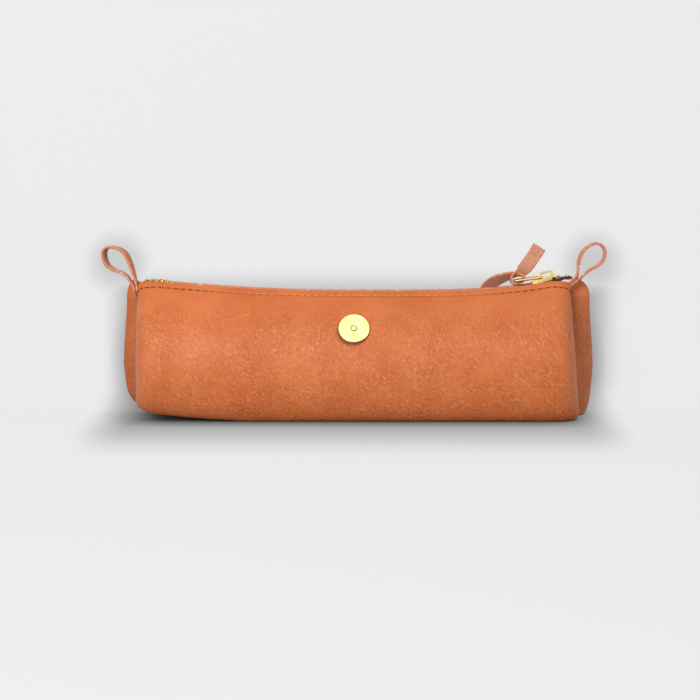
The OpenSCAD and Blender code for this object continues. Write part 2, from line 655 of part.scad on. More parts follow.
// A row of stitches along one leather edge.
module topstitch(dir) {
    v = below_edge(stitch_drop);
    count = floor((wall_len - 2 * stitch_pitch) / stitch_pitch);
    color(thread_colour) for (i = [0 : count - 1]) {
        x = (i - (count - 1) / 2) * stitch_pitch;
        a = wall_off(dir, x - stitch_len / 2, v, thread_d / 2 + seat);
        b = wall_off(dir, x + stitch_len / 2, v, thread_d / 2 + seat);
        translate(a) rotate([0, 90 - atan2(b[2] - a[2], stitch_len), 0])
            cylinder(d = thread_d, h = norm(b - a), $fn = 8);
    }
}
module front_topstitch() { topstitch(-1); }
module back_topstitch() { topstitch(1); }

// Stitches on both faces of the seam allowance at one end.
first_stitch_share = 1.4;
module seam_thread(side) {
    start = back_toe_h * first_stitch_share;
    count = floor((case_h - dip - start - stitch_pitch) / stitch_pitch);
    color(thread_colour) for (dir = [-1, 1]) for (i = [0 : count - 1]) {
        z = start + i * stitch_pitch;
        low_x = seam_x(z) - hide_t - allowance * seam_row_share;
        high_x = seam_x(z + stitch_len) - hide_t - allowance * seam_row_share;
        translate([side * low_x, dir * (hide_t + seat + thread_d / 2), z])
            rotate([0, side * atan2(high_x - low_x, stitch_len), 0])
                cylinder(d = thread_d, h = stitch_len, $fn = 8);
    }
}
module left_seam_thread() { seam_thread(-1); }
module right_seam_thread() { seam_thread(1); }

leather_body();
front_lip();
back_lip();
front_zip_tape();
back_zip_tape();
front_zip_teeth();
back_zip_teeth();
bottom_stop();
front_top_stop();
back_top_stop();
slider_body();
slider_bridge();
pull_link();
pull_strap();
left_loop();
right_loop();
badge_disc();
badge_rivet();
rivet_washer();
front_topstitch();
back_topstitch();
left_seam_thread();
right_seam_thread();
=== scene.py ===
import math

import bmesh
import bpy
from mathutils import Matrix, Vector, noise
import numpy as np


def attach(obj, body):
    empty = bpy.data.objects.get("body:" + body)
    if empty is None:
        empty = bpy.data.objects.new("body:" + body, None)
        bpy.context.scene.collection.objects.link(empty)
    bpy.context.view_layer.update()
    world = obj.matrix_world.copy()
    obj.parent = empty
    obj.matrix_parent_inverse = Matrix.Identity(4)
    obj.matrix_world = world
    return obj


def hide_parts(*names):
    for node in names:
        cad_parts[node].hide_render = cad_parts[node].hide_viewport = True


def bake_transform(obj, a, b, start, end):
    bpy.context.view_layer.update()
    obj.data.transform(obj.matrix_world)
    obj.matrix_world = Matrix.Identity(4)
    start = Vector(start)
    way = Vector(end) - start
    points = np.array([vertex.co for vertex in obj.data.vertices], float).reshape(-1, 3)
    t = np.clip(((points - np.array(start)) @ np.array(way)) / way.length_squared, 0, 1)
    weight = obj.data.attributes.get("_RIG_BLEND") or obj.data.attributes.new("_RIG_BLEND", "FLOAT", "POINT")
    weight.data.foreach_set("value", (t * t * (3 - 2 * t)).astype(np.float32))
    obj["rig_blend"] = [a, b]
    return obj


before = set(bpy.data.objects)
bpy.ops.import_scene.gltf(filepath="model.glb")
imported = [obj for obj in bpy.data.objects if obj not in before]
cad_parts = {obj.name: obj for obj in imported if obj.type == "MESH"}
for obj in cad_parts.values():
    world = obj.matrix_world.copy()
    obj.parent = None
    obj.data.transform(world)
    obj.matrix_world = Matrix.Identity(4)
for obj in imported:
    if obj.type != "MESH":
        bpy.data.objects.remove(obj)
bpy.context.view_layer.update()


# Shares, mixes, colours and small helpers used by every piece
def clamped(t):
    return min(max(t, 0.0), 1.0)


def smooth(t):
    c = clamped(t)
    return c * c * (3 - 2 * c)


def mix(a, b, t):
    return a + (b - a) * t


def seen(red, green, blue):  # a colour as it looks on a screen, made linear
    parts = [value / 255 for value in (red, green, blue)]
    return tuple(p / 12.92 if p <= 0.04045 else ((p + 0.055) / 1.055) ** 2.4 for p in parts) + (1.0,)


def placed(name, data):  # a new object in the scene
    added = bpy.data.objects.new(name, data)
    bpy.context.scene.collection.objects.link(added)
    return added


def only(kind, geom):
    return [part for part in geom if isinstance(part, kind)]


# The camera and the light
view = {
    "place": (-0.0019, -0.9204, 0.11355),
    "pitch": 85,
    "lens": 96.9,
    "sensor": 36,
    "backdropBehind": 0.02,
    "coveRadius": 0.017,
    "worldStrength": 0.3,
    "floorReach": 3.0,
    "wallHeight": 0.9,
    "background": (236, 236, 237),
    "shade": (150, 150, 152),
    "hollowReach": 0.02,
    "hollowSamples": 8,
    "litShare": 0.08,
    "shadePower": 2.2,
    "clipStart": 0.01,
    "coveSteps": 12,
    "lampAim": (0, 0, 0.03),
}
shadeOfCase = {  # soft shade thrown straight back from the front
    "middle": (0.00375, 0.0272),
    "half": (0.1137, 0.0327),
    "share": 0.34,
    "inside": -0.009,
    "outside": 0.015,
    "spots": [(-0.1153, 0.0755), (0.1165, 0.0755)],
    "spotRadius": 0.008,
    "spotShare": 0.15,
    "spotInside": -0.004,
    "spotOutside": 0.012,
    "foot": (0.104, 0.017),
    "footShare": 0.34,
    "footInside": -0.004,
    "footOutside": 0.03,
    "forward": 0.23,
}


def makeCamera():
    camera = bpy.data.cameras.new("camera")
    camera.lens = view["lens"]
    camera.sensor_width = view["sensor"]
    camera.clip_start = view["clipStart"]
    holder = placed("camera", camera)
    holder.location = view["place"]
    holder.rotation_euler = (math.radians(view["pitch"]), 0, 0)
    bpy.context.scene.camera = holder


lamps = {
    "key": {"place": (-0.38, -0.92, 0.36), "size": (0.5, 0.4), "watts": 8.0},
    "fill": {"place": (1.0, -0.4, 0.22), "size": (0.4, 0.4), "watts": 1.7},
    "disc": {"place": (0.12, -0.55, 0.88), "size": (0.8, 0.5), "watts": 0.85},
    "back": {"place": (-0.2, 0.95, 0.5), "size": (0.9, 0.6), "watts": 4.0},
}


def makeLamps():
    for name, lamp in lamps.items():
        light = bpy.data.lights.new(name, "AREA")
        light.shape = "RECTANGLE"
        light.size, light.size_y = lamp["size"]
        light.energy = lamp["watts"]
        holder = placed(name, light)
        place = Vector(lamp["place"])
        holder.location = place
        holder.rotation_euler = (Vector(view["lampAim"]) - place).to_track_quat("-Z", "Y").to_euler()
    bpy.context.scene.view_settings.view_transform = "Standard"


def makeWorld():  # pale where it is looked at, dimmer as a light
    world = bpy.data.worlds.new("studio")
    world.use_nodes = True
    tree = world.node_tree
    dim = tree.nodes["Background"]
    dim.inputs["Color"].default_value = (1.0, 1.0, 1.0, 1.0)
    dim.inputs["Strength"].default_value = view["worldStrength"]
    pale = tree.nodes.new("ShaderNodeBackground")
    pale.inputs["Color"].default_value = seen(*view["background"])
    path = tree.nodes.new("ShaderNodeLightPath")
    looked = tree.nodes.new("ShaderNodeMath")
    looked.operation = "MAXIMUM"
    tree.links.new(path.outputs["Is Camera Ray"], looked.inputs[0])
    tree.links.new(path.outputs["Is Glossy Ray"], looked.inputs[1])
    shown = tree.nodes.new("ShaderNodeMixShader")
    for socket, source in enumerate((looked, dim, pale)):
        tree.links.new(source.outputs[0], shown.inputs[socket])
    tree.links.new(shown.outputs[0], tree.nodes["World Output"].inputs["Surface"])
    bpy.context.scene.world = world


# Shader maths, written as Python
def inOrder(operation):
    return lambda self, other: self.maths(operation, self, other)


def swapped(operation):
    return lambda self, other: self.maths(operation, other, self)


class Value:  # one socket of a finish
    __add__, __radd__ = inOrder("ADD"), swapped("ADD")
    __sub__, __rsub__ = inOrder("SUBTRACT"), swapped("SUBTRACT")
    __mul__, __rmul__ = inOrder("MULTIPLY"), swapped("MULTIPLY")
    __truediv__, __pow__ = inOrder("DIVIDE"), inOrder("POWER")
    most, least = inOrder("MAXIMUM"), inOrder("MINIMUM")

    def __init__(self, finish, socket):
        self.finish = finish
        self.socket = socket

    def maths(self, operation, first, second=0.0):
        return self.finish.node("Math", {"operation": operation}, {0: first, 1: second})

    def __abs__(self):
        return self.maths("ABSOLUTE", self)

    def wave(self):
        return self.maths("SINE", self)

    def step(self, low, high):  # 0 at low, 1 at high, smooth between
        return self.finish.node("MapRange", {"interpolation_type": "SMOOTHSTEP"},
                                {"Value": self, "From Min": low, "From Max": high})


class Finish:  # one material
    def __init__(self, name, **fixed):
        self.material = bpy.data.materials.new(name)
        self.material.use_nodes = True
        self.tree = self.material.node_tree
        self.tree.nodes.clear()
        self.shader = self.tree.nodes.new("ShaderNodeBsdfPrincipled")
        self.end = self.tree.nodes.new("ShaderNodeOutputMaterial")
        self.tree.links.new(self.shader.outputs[0], self.end.inputs["Surface"])
        for socket, value in fixed.items():
            self.shader.inputs[socket.replace("_", " ")].default_value = value

    def node(self, kind, settings=None, sockets=None, output=0):
        added = self.tree.nodes.new("ShaderNode" + kind)
        for name, value in (settings or {}).items():
            setattr(added, name, value)
        for name, value in (sockets or {}).items():
            if isinstance(value, Value):
                self.tree.links.new(value.socket, added.inputs[name])
            else:
                added.inputs[name].default_value = value
        return Value(self, added.outputs[output])

    def here(self):
        return self.node("TexCoord", output="Object")

    def turned(self, place, turn, scale):
        return self.node("Mapping", {"vector_type": "TEXTURE"},
                         {"Vector": place, "Rotation": turn, "Scale": scale})

    def cloud(self, place, scale, detail=2.0, roughness=0.5, distortion=0.0):
        return self.node("TexNoise", {},
                         {"Vector": place, "Scale": scale, "Detail": detail, "Roughness": roughness,
                          "Distortion": distortion}, "Fac")

    def cells(self, place, scale, feature="F1"):
        return self.node("TexVoronoi", {"feature": feature},
                         {"Vector": place, "Scale": scale}, "Distance")

    def part(self, place, axis):
        return self.node("SeparateXYZ", {}, {0: place}, axis)

    def gone(self, place, middle):  # distance from a point
        return self.node("VectorMath", {"operation": "DISTANCE"}, {0: place, 1: middle}, "Value")

    def tint(self, share, first, second, blend="MIX"):
        return self.node("Mix", {"data_type": "RGBA", "blend_type": blend},
                         {0: share, 6: first, 7: second}, 2)

    def attribute(self, name):
        return self.node("Attribute", {"attribute_name": name}, {}, "Fac")

    def bump(self, height, distance, strength=1.0):
        return self.node("Bump", {}, {"Height": height, "Distance": distance, "Strength": strength})

    def wear(self, **links):
        for socket, value in links.items():
            self.tree.links.new(value.socket, self.shader.inputs[socket.replace("_", " ")])
        return self.material


hideLook = {
    "smoothFrom": (0.046, 0.061),
    "pebbledUnder": (0.008, 0.032),
    "grooveHalf": (0.0001, 0.0006),
    "discShadowMiddle": (-0.0006, -0.0231, 0.0442),
    "discShadowRadius": (0.0072, 0.0082),
    "discShadowShare": 0.7,
    "ridgeShare": 0.34,
    "creaseShare": 0.34,
    "mottleShare": 0.12,
    "grooveShare": 0.35,
    "relief": 0.00026,
}


def tanLeather():
    f = Finish("tanLeather", Specular_IOR_Level=0.34)
    place = f.here()
    drop = f.attribute("hem")
    low = f.part(place, "Z")
    grained = 1 - low.step(*hideLook["smoothFrom"])
    bent = f.cloud(place, 32.0, 1.0)
    steep = f.cloud(f.turned(place, (0, math.radians(62), 0), (3.6, 1.3, 1.0)), 1500.0, 2.0, 0.55, 0.3)
    shallow = f.cloud(f.turned(place, (0, math.radians(40), 0), (3.2, 1.3, 1.0)), 1400.0, 2.0, 0.55, 0.4)
    streak = f.tint(bent.step(0.44, 0.56), steep, shallow)
    pull = f.cloud(f.turned(place, (0, math.radians(55), 0), (2.6, 1.2, 1.0)), 480.0, 2.0, 0.5, 0.3)
    pebble = f.cells(place, 1100.0, "DISTANCE_TO_EDGE").step(0.0, 0.35)
    pores = f.cloud(place, 3400.0, 2.0)
    patch = f.cloud(place, 85.0, 2.0)
    strength = 0.2 + (0.6 + 0.4 * patch.step(0.35, 0.62)) * grained
    bottom = 1 - low.step(*hideLook["pebbledUnder"])
    groove = 1 - abs(drop - case["stitchDrop"]).step(*hideLook["grooveHalf"])
    grains = streak * 1.8 + pull * 0.4 + pebble * (0.14 + 0.2 * bottom)
    relief = grains * strength + pores * 0.09 - groove * 0.2
    body = f.tint(f.cloud(place, 60.0, 3.0).step(0.3, 0.7), seen(208, 108, 52), seen(219, 121, 66))
    ridge = streak.step(0.5, 0.68) * strength
    # the grain's ridges are painted paler, partly as rubbed wear and partly as a painted sheen
    rubbedAndSheen = f.tint(ridge * hideLook["ridgeShare"], body, seen(243, 166, 120))
    crease = (1 - streak.step(0.34, 0.48)) * strength
    # painted shade: the grain's creases are painted darker
    dark = f.tint(crease * hideLook["creaseShare"], rubbedAndSheen, seen(176, 84, 38))
    mottled = f.tint((1 - pull.step(0.38, 0.56)) * hideLook["mottleShare"] * grained, dark, seen(180, 92, 48))
    # painted shade in the stitch groove: the groove is painted darker
    grooveShaded = f.tint(groove * hideLook["grooveShare"], mottled, seen(150, 74, 36))
    # painted shadow of the badge disc: a dark crescent on the leather at the disc's lower left
    discShadow = 1 - f.gone(place, hideLook["discShadowMiddle"]).step(*hideLook["discShadowRadius"])
    valley = f.attribute("valley")
    # painted shade: darker in the seams' valleys and on the left fold, and in the disc's painted shadow
    shaded = f.tint(valley.most(discShadow * hideLook["discShadowShare"]), grooveShaded, seen(112, 54, 26))
    rough = 0.45 + 0.1 * patch - 0.12 * ridge + 0.4 * valley
    return f.wear(Base_Color=shaded, Roughness=rough, Normal=f.bump(relief, hideLook["relief"]))


def fleshSide():
    f = Finish("fleshSide", Specular_IOR_Level=0.25, Sheen_Weight=0.25, Sheen_Roughness=0.5)
    place = f.here()
    nap = f.cloud(place, 900.0, 4.0, 0.65)
    cloudy = f.cloud(place, 120.0, 2.0)
    tuft = f.cells(place, 1500.0)
    colour = f.tint(nap.step(0.3, 0.75), seen(206, 138, 106), seen(236, 178, 148))
    shaded = f.tint(cloudy.step(0.35, 0.7) * 0.35, colour, seen(196, 124, 92))
    return f.wear(Base_Color=shaded, Roughness=0.85 + 0.12 * nap, Normal=f.bump(nap + tuft * 0.4, 0.00016))


def cutEdge():
    f = Finish("cutEdge", Specular_IOR_Level=0.3, Sheen_Weight=0.15)
    place = f.here()
    fibre = f.cloud(place, 1700.0, 3.0, 0.6)
    specks = f.cloud(place, 640.0, 1.0).step(0.60, 0.68)
    colour = f.tint(fibre.step(0.3, 0.7), seen(206, 120, 84), seen(228, 152, 118))
    lit = f.tint(specks * 0.7, colour, seen(246, 200, 172))
    return f.wear(Base_Color=lit, Roughness=0.75 + 0.2 * fibre, Normal=f.bump(fibre, 0.0001))


def zipTape():
    f = Finish("zipTape", Specular_IOR_Level=0.2, Sheen_Weight=0.2)
    place = f.here()
    warp = f.turned(place, (0, 0, 0), (0.00012, 0.00012, 0.00012))
    x, y = f.part(warp, "X"), f.part(warp, "Y")
    weave = (x + y).wave() * (x - y).wave()
    soft = f.cloud(place, 300.0, 3.0)
    colour = f.tint(soft.step(0.3, 0.7), seen(74, 30, 20), seen(112, 56, 42))
    lit = f.tint(weave.step(0.0, 1.0) * 0.4, colour, seen(136, 74, 58))
    return f.wear(Base_Color=lit, Roughness=0.8 + 0.15 * soft, Normal=f.bump(weave + soft, 0.00008))


def waxedThread():
    f = Finish("waxedThread", Specular_IOR_Level=0.4)
    place = f.here()
    twist = f.part(f.turned(place, (0, 0.6, 0), (0.00012, 0.00012, 0.00012)), "X").wave()
    mottle = f.cloud(place, 800.0, 2.0)
    pale = f.tint(mottle.step(0.3, 0.7), seen(214, 134, 80), seen(236, 164, 108))
    # painted shade: the thread is painted darker towards both ends of the case
    colour = f.tint(abs(f.part(place, "X")).step(0.05, 0.08) * 0.9, pale, seen(120, 62, 30))
    return f.wear(Base_Color=colour, Roughness=0.5 + 0.2 * mottle,
                  Normal=f.bump(twist * 0.5 + mottle, 0.00006))


brassLooks = {  # light, dark and roughness
    "discBrass": (seen(250, 238, 172), seen(242, 222, 146), 0.22),
    "paleBrass": (seen(250, 236, 168), seen(244, 224, 150), 0.2),
    "zipBrass": (seen(240, 216, 140), seen(212, 178, 98), 0.24),
    # darker brass for the teeth and bottom stop, partly an antique tone and partly painted shade
    "antiqueAndShadedBrass": (seen(176, 136, 78), seen(120, 84, 44), 0.34),
}
discRing = {"middle": (0, -0.0233, 0.0454), "radius": 0.0014, "half": (0.0001, 0.0004), "share": 0.85}


def brass(name):
    light, dark, rough = brassLooks[name]
    f = Finish(name, Specular_IOR_Level=0.5, Metallic=1.0)
    place = f.here()
    smudge = f.cloud(place, 260.0, 3.0, 0.6)
    scratch = f.cloud(f.turned(place, (0.3, 0.5, 0.2), (4.0, 1.0, 0.35)), 1500.0, 3.0, 0.6)
    swell = f.cloud(place, 90.0, 1.0)
    tarnish = f.cloud(place, 700.0, 2.0).step(0.55, 0.8)
    colour = f.tint(smudge.step(0.35, 0.7), light, dark)
    aged = f.tint(tarnish * 0.25, colour, seen(196, 158, 84))
    if name == "discBrass":  # a dark line painted in the ring round the rivet
        off = abs(f.gone(place, discRing["middle"]) - discRing["radius"])
        line = discRing["share"] - discRing["share"] * off.step(*discRing["half"])
        aged = f.tint(line, aged, seen(92, 66, 30))
    relief = scratch * 0.02 + swell * 0.6
    return f.wear(Base_Color=aged, Roughness=rough + 0.14 * smudge, Normal=f.bump(relief, 0.001))


# Meshes
def meshOf(name, bm):
    mesh = bpy.data.meshes.new(name)
    bm.to_mesh(mesh)
    bm.free()
    return mesh


def finished(name, bm, materials):
    mesh = meshOf(name, bm)
    piece = placed(name, mesh)
    for material in materials:
        mesh.materials.append(material)
    return piece


def sheetGrid(across, along, place):  # a grid whose points are put in place by their two counts
    bm = bmesh.new()
    bmesh.ops.create_grid(bm, x_segments=across, y_segments=along, size=1)
    for vert in bm.verts:
        i = round((vert.co.x + 1) / 2 * across)
        j = round((vert.co.y + 1) / 2 * along)
        vert.co = place(i, j)
    return bm


def thickened(bm, thickness, back, edge):  # a second skin under the first, with walls between
    out = bm.verts.layers.float_vector["out"]
    front = list(bm.faces)
    grown = bmesh.ops.extrude_face_region(bm, geom=front, use_keep_orig=True)["geom"]
    under = only(bmesh.types.BMFace, grown)
    for vert in only(bmesh.types.BMVert, grown):
        vert.co -= Vector(vert[out]) * thickness
    known = set(front) | set(under)
    for face in under:
        face.material_index = back
    rim = [face for face in bm.faces if face not in known]
    for face in rim:
        face.material_index = edge
    bmesh.ops.recalc_face_normals(bm, faces=bm.faces)
    return rim


def smoothed(bm):
    for face in bm.faces:
        face.smooth = True


def bevelled(bm, edges, width, material=-1, clamp=False):
    bmesh.ops.bevel(bm, geom=edges, offset=width, segments=2, affect="EDGES", profile=0.5, material=material,
                    clamp_overlap=clamp)


def joined(bm, part):  # the part's mesh becomes part of bm
    mesh = meshOf("part", part)
    bm.from_mesh(mesh)
    bpy.data.meshes.remove(mesh)


# The case: one sheet of leather, front, base, back and both folded ends
case = {
    "wallHalf": 0.096,
    "caseH": 0.0674,
    "sag": 0.0049,
    "leftSagPower": 2,
    "rightSagPower": 4,
    "halfDepth": 0.028,
    "fullH": 0.024,
    "baseHalf": 0.017,
    "mouthHalf": 0.0065,
    "hideT": 0.0014,
    "hingeH": 0.034,
    "hingeY": 0.02702,
    "wallLowShare": 0.45,
    "wallTopDepthShare": 0.535,
    "wallTopRiseShare": 0.262,
    "leftLift": 0.0034,
    "wallColumns": 128,
    "endColumns": 88,
    "baseRows": 6,
    "toeRows": 14,
    "lowRows": 9,
    "wallRows": 34,
    "hemRows": 12,
    "hemShare": 0.86,
    "dentDepth": 0.00045,
    "foldDepth": 0.00011,
    "stitchDrop": 0.0042,
    "grooveDepth": 0.00016,
    "grooveWidth": 0.0007,
    "profileBow": 0.96,
    "rimNear": 0.0001,
    "rimRound": 0.0004,
}
fold = {
    "seamTopX": 0.1054,
    "seamDraw": 0.0035,
    "frontX": {-1: 0.1064, 1: 0.1108},
    "backX": {-1: 0.115, 1: 0.1196},
    "frontTaper": 0.6,
    "frontToeH": 0.005,
    "backToeH": 0.009,
    "toeBlend": 0.3,
    "power": 2.6,
    "frontCrease": 0.24,
    "backCrease": 0.34,
    "frontFull": 0.955,
    "backFull": 0.87,
    "baseShare": {-1: 0.45, 1: 0.8},
    "dip": 0.0055,
    "frontDipShare": 0.5,
    "backDipPower": 4,
    "backDipBlend": 0.3,
    "rollFrom": 0.72,
    "rollWait": 0.05,
    "rollRise": 0.0078,
    "puffFrom": 0.3,
    "puffFull": 0.6,
    "allowance": 0.006,
    "footIn": 0.0024,
}


def bezier(a, b, c, d, t):
    s = 1 - t
    return a * s ** 3 + b * 3 * t * s * s + c * 3 * t * t * s + d * t ** 3


def profile(v):  # depth and height of the wall: -1 at the base's edge, 0 where it is fullest, 1 at the mouth
    if v < 0:
        turn = math.pi / 2 * (v + 1)
        return (mix(case["baseHalf"], case["halfDepth"], math.sin(turn)),
                case["fullH"] * (1 - math.cos(turn)))
    depth = mix(case["mouthHalf"], case["halfDepth"], case["wallTopDepthShare"])
    lowZ = mix(case["fullH"], case["caseH"], case["wallLowShare"])
    topZ = mix(case["caseH"], case["fullH"], case["wallTopRiseShare"])
    return (bezier(case["halfDepth"], case["halfDepth"], depth, case["mouthHalf"], v),
            bezier(case["fullH"], lowZ, topZ, case["caseH"], v))


def drawn(z, top):
    if z <= case["hingeH"]:
        return z
    return case["hingeH"] + (z - case["hingeH"]) * (top - case["hingeH"]) / (case["caseH"] - case["hingeH"])


def edgeH(x):
    power = case["leftSagPower"] if x < 0 else case["rightSagPower"]
    return case["caseH"] - case["sag"] * (1 - (min(abs(x), case["wallHalf"]) / case["wallHalf"]) ** power)


def lifted(x, y, z):  # the base rises gently to the left
    run = max(0.0, -x - case["wallHalf"] / 2) / (case["wallHalf"] / 2)
    return Vector((x, y, z + case["leftLift"] * run ** 1.5 * (1 - smooth(z / case["hingeH"]))))


def wallPoint(way, x, v):
    depth, z = profile(v)
    return lifted(x, way * depth, drawn(z, edgeH(x)))


def seamX(z):
    return fold["seamTopX"] - fold["seamDraw"] * math.sin(math.pi * min(z, case["caseH"]) / case["caseH"])


def endX(side, q, z, roll):
    toe = mix(fold["frontToeH"], fold["backToeH"], smooth((q + fold["toeBlend"]) / (2 * fold["toeBlend"])))
    base = fold["baseShare"][side]
    reach = base + (1 - base) * math.sqrt(1 - (1 - min(z / toe, 1)) ** 2)
    if q < 0:
        peak = mix(fold["frontX"][side], fold["seamTopX"], (z / case["caseH"]) ** fold["frontTaper"])
        share, crease = fold["frontFull"], fold["frontCrease"]
    else:
        turn = smooth((roll - fold["rollWait"]) / (1 - fold["rollWait"]))
        above = smooth((z - case["fullH"]) / (case["caseH"] - case["fullH"]))
        peak = fold["backX"][side] - fold["seamDraw"] * above
        peak = mix(peak - fold["footIn"] * (1 - smooth(z / case["fullH"])), fold["seamTopX"], turn)
        share, crease = mix(fold["backFull"], fold["frontFull"], turn), fold["backCrease"]
    full = case["wallHalf"] + (peak - case["wallHalf"]) / share
    rounded = max(0.0, 1 - abs(q) ** fold["power"]) ** (1 / fold["power"])
    drawnIn = (full - seamX(z)) * math.exp(-(q / crease) ** 2)
    return case["wallHalf"] + ((full - case["wallHalf"]) * rounded - drawnIn) * reach


def endPoint(side, q, v):  # the back folds roll over at their top and come back to the mouth
    depth, z = profile(v)
    roll = max(0.0, v - fold["rollFrom"]) / (1 - fold["rollFrom"])
    if q < 0:
        low, puff = math.exp(-(q / fold["frontDipShare"]) ** 2), 0.0
    else:
        share = 1 - q ** fold["backDipPower"]
        low = math.exp(-(q / fold["frontDipShare"]) ** 2)
        low = mix(low, share * smooth(roll), smooth(q / fold["backDipBlend"]))
        puffed = smooth((q - fold["puffFrom"]) / (fold["puffFull"] - fold["puffFrom"]))
        puff = fold["rollRise"] * share * math.sin(math.pi * roll) * puffed
    height = drawn(z, case["caseH"] - fold["dip"] * low) + puff
    return lifted(side * endX(side, q, z, roll), q * depth, height)


wallReach = math.hypot(case["halfDepth"] - case["mouthHalf"], case["caseH"] - case["fullH"])
wallReach /= case["profileBow"]


def belowEdge(distance):
    return 1 - distance / wallReach


seamLook = {
    "reach": 1.9,
    "backReach": 0.08,
    "backReachEnd": 0.1,
    "dark": 0.7,
    "frontFrom": 0.3,
    "frontFade": 0.35,
    "leftUpDark": 0.16,
    "leftLowDark": 0.42,
    "leftLowEnd": 0.05,
    "backFade": 0.3,
    "edgeFade": 0.2,
}


def stitchReach(point, place):  # the stitches dip into the seams in front and end at the back folds
    if point is wallPoint:
        return 1.0
    if place < 0:
        return mix(1.0, seamLook["reach"], 1 - abs(place))
    return mix(seamLook["reach"], seamLook["backReach"], smooth(place / seamLook["backReachEnd"]))


def valleyShade(point, place, side, z):  # painted shade: the folds are darker towards the seams, and the left fold's back half is darker too, most near the base
    look = seamLook
    if point is wallPoint:
        return 0.0
    if place < 0:
        return look["dark"] * (1 - smooth((-place - look["frontFrom"]) / look["frontFade"]))
    under = 0.0
    if side < 0:
        under = mix(look["leftUpDark"], look["leftLowDark"], 1 - smooth(z / look["leftLowEnd"]))
    return mix(look["dark"], under, smooth(place / look["backFade"])) * smooth((1 - place) / look["edgeFade"])


def hingeShare():
    low, high = 0.0, 1.0
    for _ in range(40):
        middle = (low + high) / 2
        if profile(middle)[1] < case["hingeH"]:
            low = middle
        else:
            high = middle
    return low


def foldShare(s):
    return math.copysign(smooth(abs(s)), s)


def ringColumns():
    wall, end, half = case["wallColumns"], case["endColumns"], case["wallHalf"]
    columns = [(wallPoint, -1, mix(-half, half, k / wall)) for k in range(wall)]
    columns += [(endPoint, 1, foldShare(2 * k / end - 1)) for k in range(end)]
    columns += [(wallPoint, 1, mix(half, -half, k / wall)) for k in range(wall)]
    columns += [(endPoint, -1, foldShare(1 - 2 * k / end)) for k in range(end)]
    return columns


def rowShares():
    hinge = hingeShare()
    rows = [k / case["toeRows"] - 1 for k in range(case["toeRows"])]
    rows += [hinge * k / case["lowRows"] for k in range(case["lowRows"])]
    rows += [mix(hinge, case["hemShare"], k / case["wallRows"]) for k in range(case["wallRows"])]
    rows += [mix(case["hemShare"], 1.0, k / case["hemRows"]) for k in range(case["hemRows"] + 1)]
    return rows


dents = {
    "discH": 0.045,
    "discClear": 0.011,
    "discFade": 0.012,
    "upFrom": 0.048,
    "upFade": 0.009,
    "lowFrom": 0.001,
    "lowFade": 0.006,
    "frontSeed": 3.0,
    "backSeed": 8.0,
    "broad": (26, 10, 30),
    "turn": 52,
    "folds": (55, 210),
    "fineFolds": (120, 420),
    "fineSeed": 4,
    "fineShare": 0.5,
}


def dent(p, drop):  # how far the soft wall stands in or out of its plain shape
    seed, away = dents["backSeed"], 1.0
    if p.y < 0:
        seed = dents["frontSeed"]
        away = smooth((math.hypot(p.x, p.z - dents["discH"]) - dents["discClear"]) / dents["discFade"])
    under = 1 - smooth((p.z - dents["upFrom"]) / dents["upFade"])
    fade = under * smooth((p.z - dents["lowFrom"]) / dents["lowFade"]) * away
    broadX, broadY, broadZ = dents["broad"]
    broad = noise.noise(Vector((p.x * broadX, seed + p.y * broadY, p.z * broadZ)))
    turn = math.radians(dents["turn"])
    a = p.x * math.cos(turn) - p.z * math.sin(turn)
    b = p.x * math.sin(turn) + p.z * math.cos(turn)
    (rateA, rateB), (fineA, fineB) = dents["folds"], dents["fineFolds"]
    fine = noise.noise(Vector((a * fineA, seed + dents["fineSeed"], b * fineB)))
    folds = noise.noise(Vector((a * rateA, seed, b * rateB))) + dents["fineShare"] * fine
    groove = math.exp(-((drop - case["stitchDrop"]) / case["grooveWidth"]) ** 2)
    return case["dentDepth"] * fade * broad + case["foldDepth"] * fade * folds - case["grooveDepth"] * groove


def outerSkin():
    columns = ringColumns()
    rows = rowShares()
    count = len(columns)
    wall, end, base = case["wallColumns"], case["endColumns"], case["baseRows"]
    floorRing = [point(way, place, -1.0) for point, way, place in columns]

    def place(i, j):
        i = i % count
        if j >= base:
            point, way, along = columns[i]
            return point(way, along, rows[j - base])
        middle = (floorRing[i] + floorRing[(2 * wall + end - i) % count]) / 2
        middle.y = 0
        middle.x = min(max(middle.x, -case["wallHalf"]), case["wallHalf"])
        return middle.lerp(floorRing[i], j / base)

    bm = sheetGrid(count, base + len(rows) - 1, lambda i, j: Vector((i, j, 0)))
    hem = bm.verts.layers.float.new("hem")
    valley = bm.verts.layers.float.new("valley")
    for vert in bm.verts:
        i, j = round(vert.co.x), round(vert.co.y)
        vert.co = place(i, j)
        point, way, along = columns[i % count]
        vert[hem] = (1 - rows[j - base]) * wallReach / stitchReach(point, along) if j >= base else wallReach
        vert[valley] = valleyShade(point, along, vert.co.x, vert.co.z) if j >= base else 0.0
    bmesh.ops.remove_doubles(bm, verts=bm.verts, dist=2e-6)
    panel = bm.faces.layers.int.new("panel")
    for face in bm.faces:
        c = face.calc_center_median()
        if c.z > case["hingeH"] and abs(c.x) < case["wallHalf"]:
            face[panel] = (1 if c.y < 0 else 3) + (0 if c.x < 0 else 1)
    bmesh.ops.recalc_face_normals(bm, faces=bm.faces)
    bm.normal_update()
    if sum(face.normal.z for face in bm.faces if face.calc_center_median().z < 0.001) > 0:
        bmesh.ops.reverse_faces(bm, faces=bm.faces)
        bm.normal_update()
    for vert, way in [(vert, vert.normal.copy()) for vert in bm.verts]:
        vert.co += way * dent(vert.co, vert[hem])
    bm.normal_update()
    out = bm.verts.layers.float_vector.new("out")
    for vert in bm.verts:
        vert[out] = vert.normal
    return bm


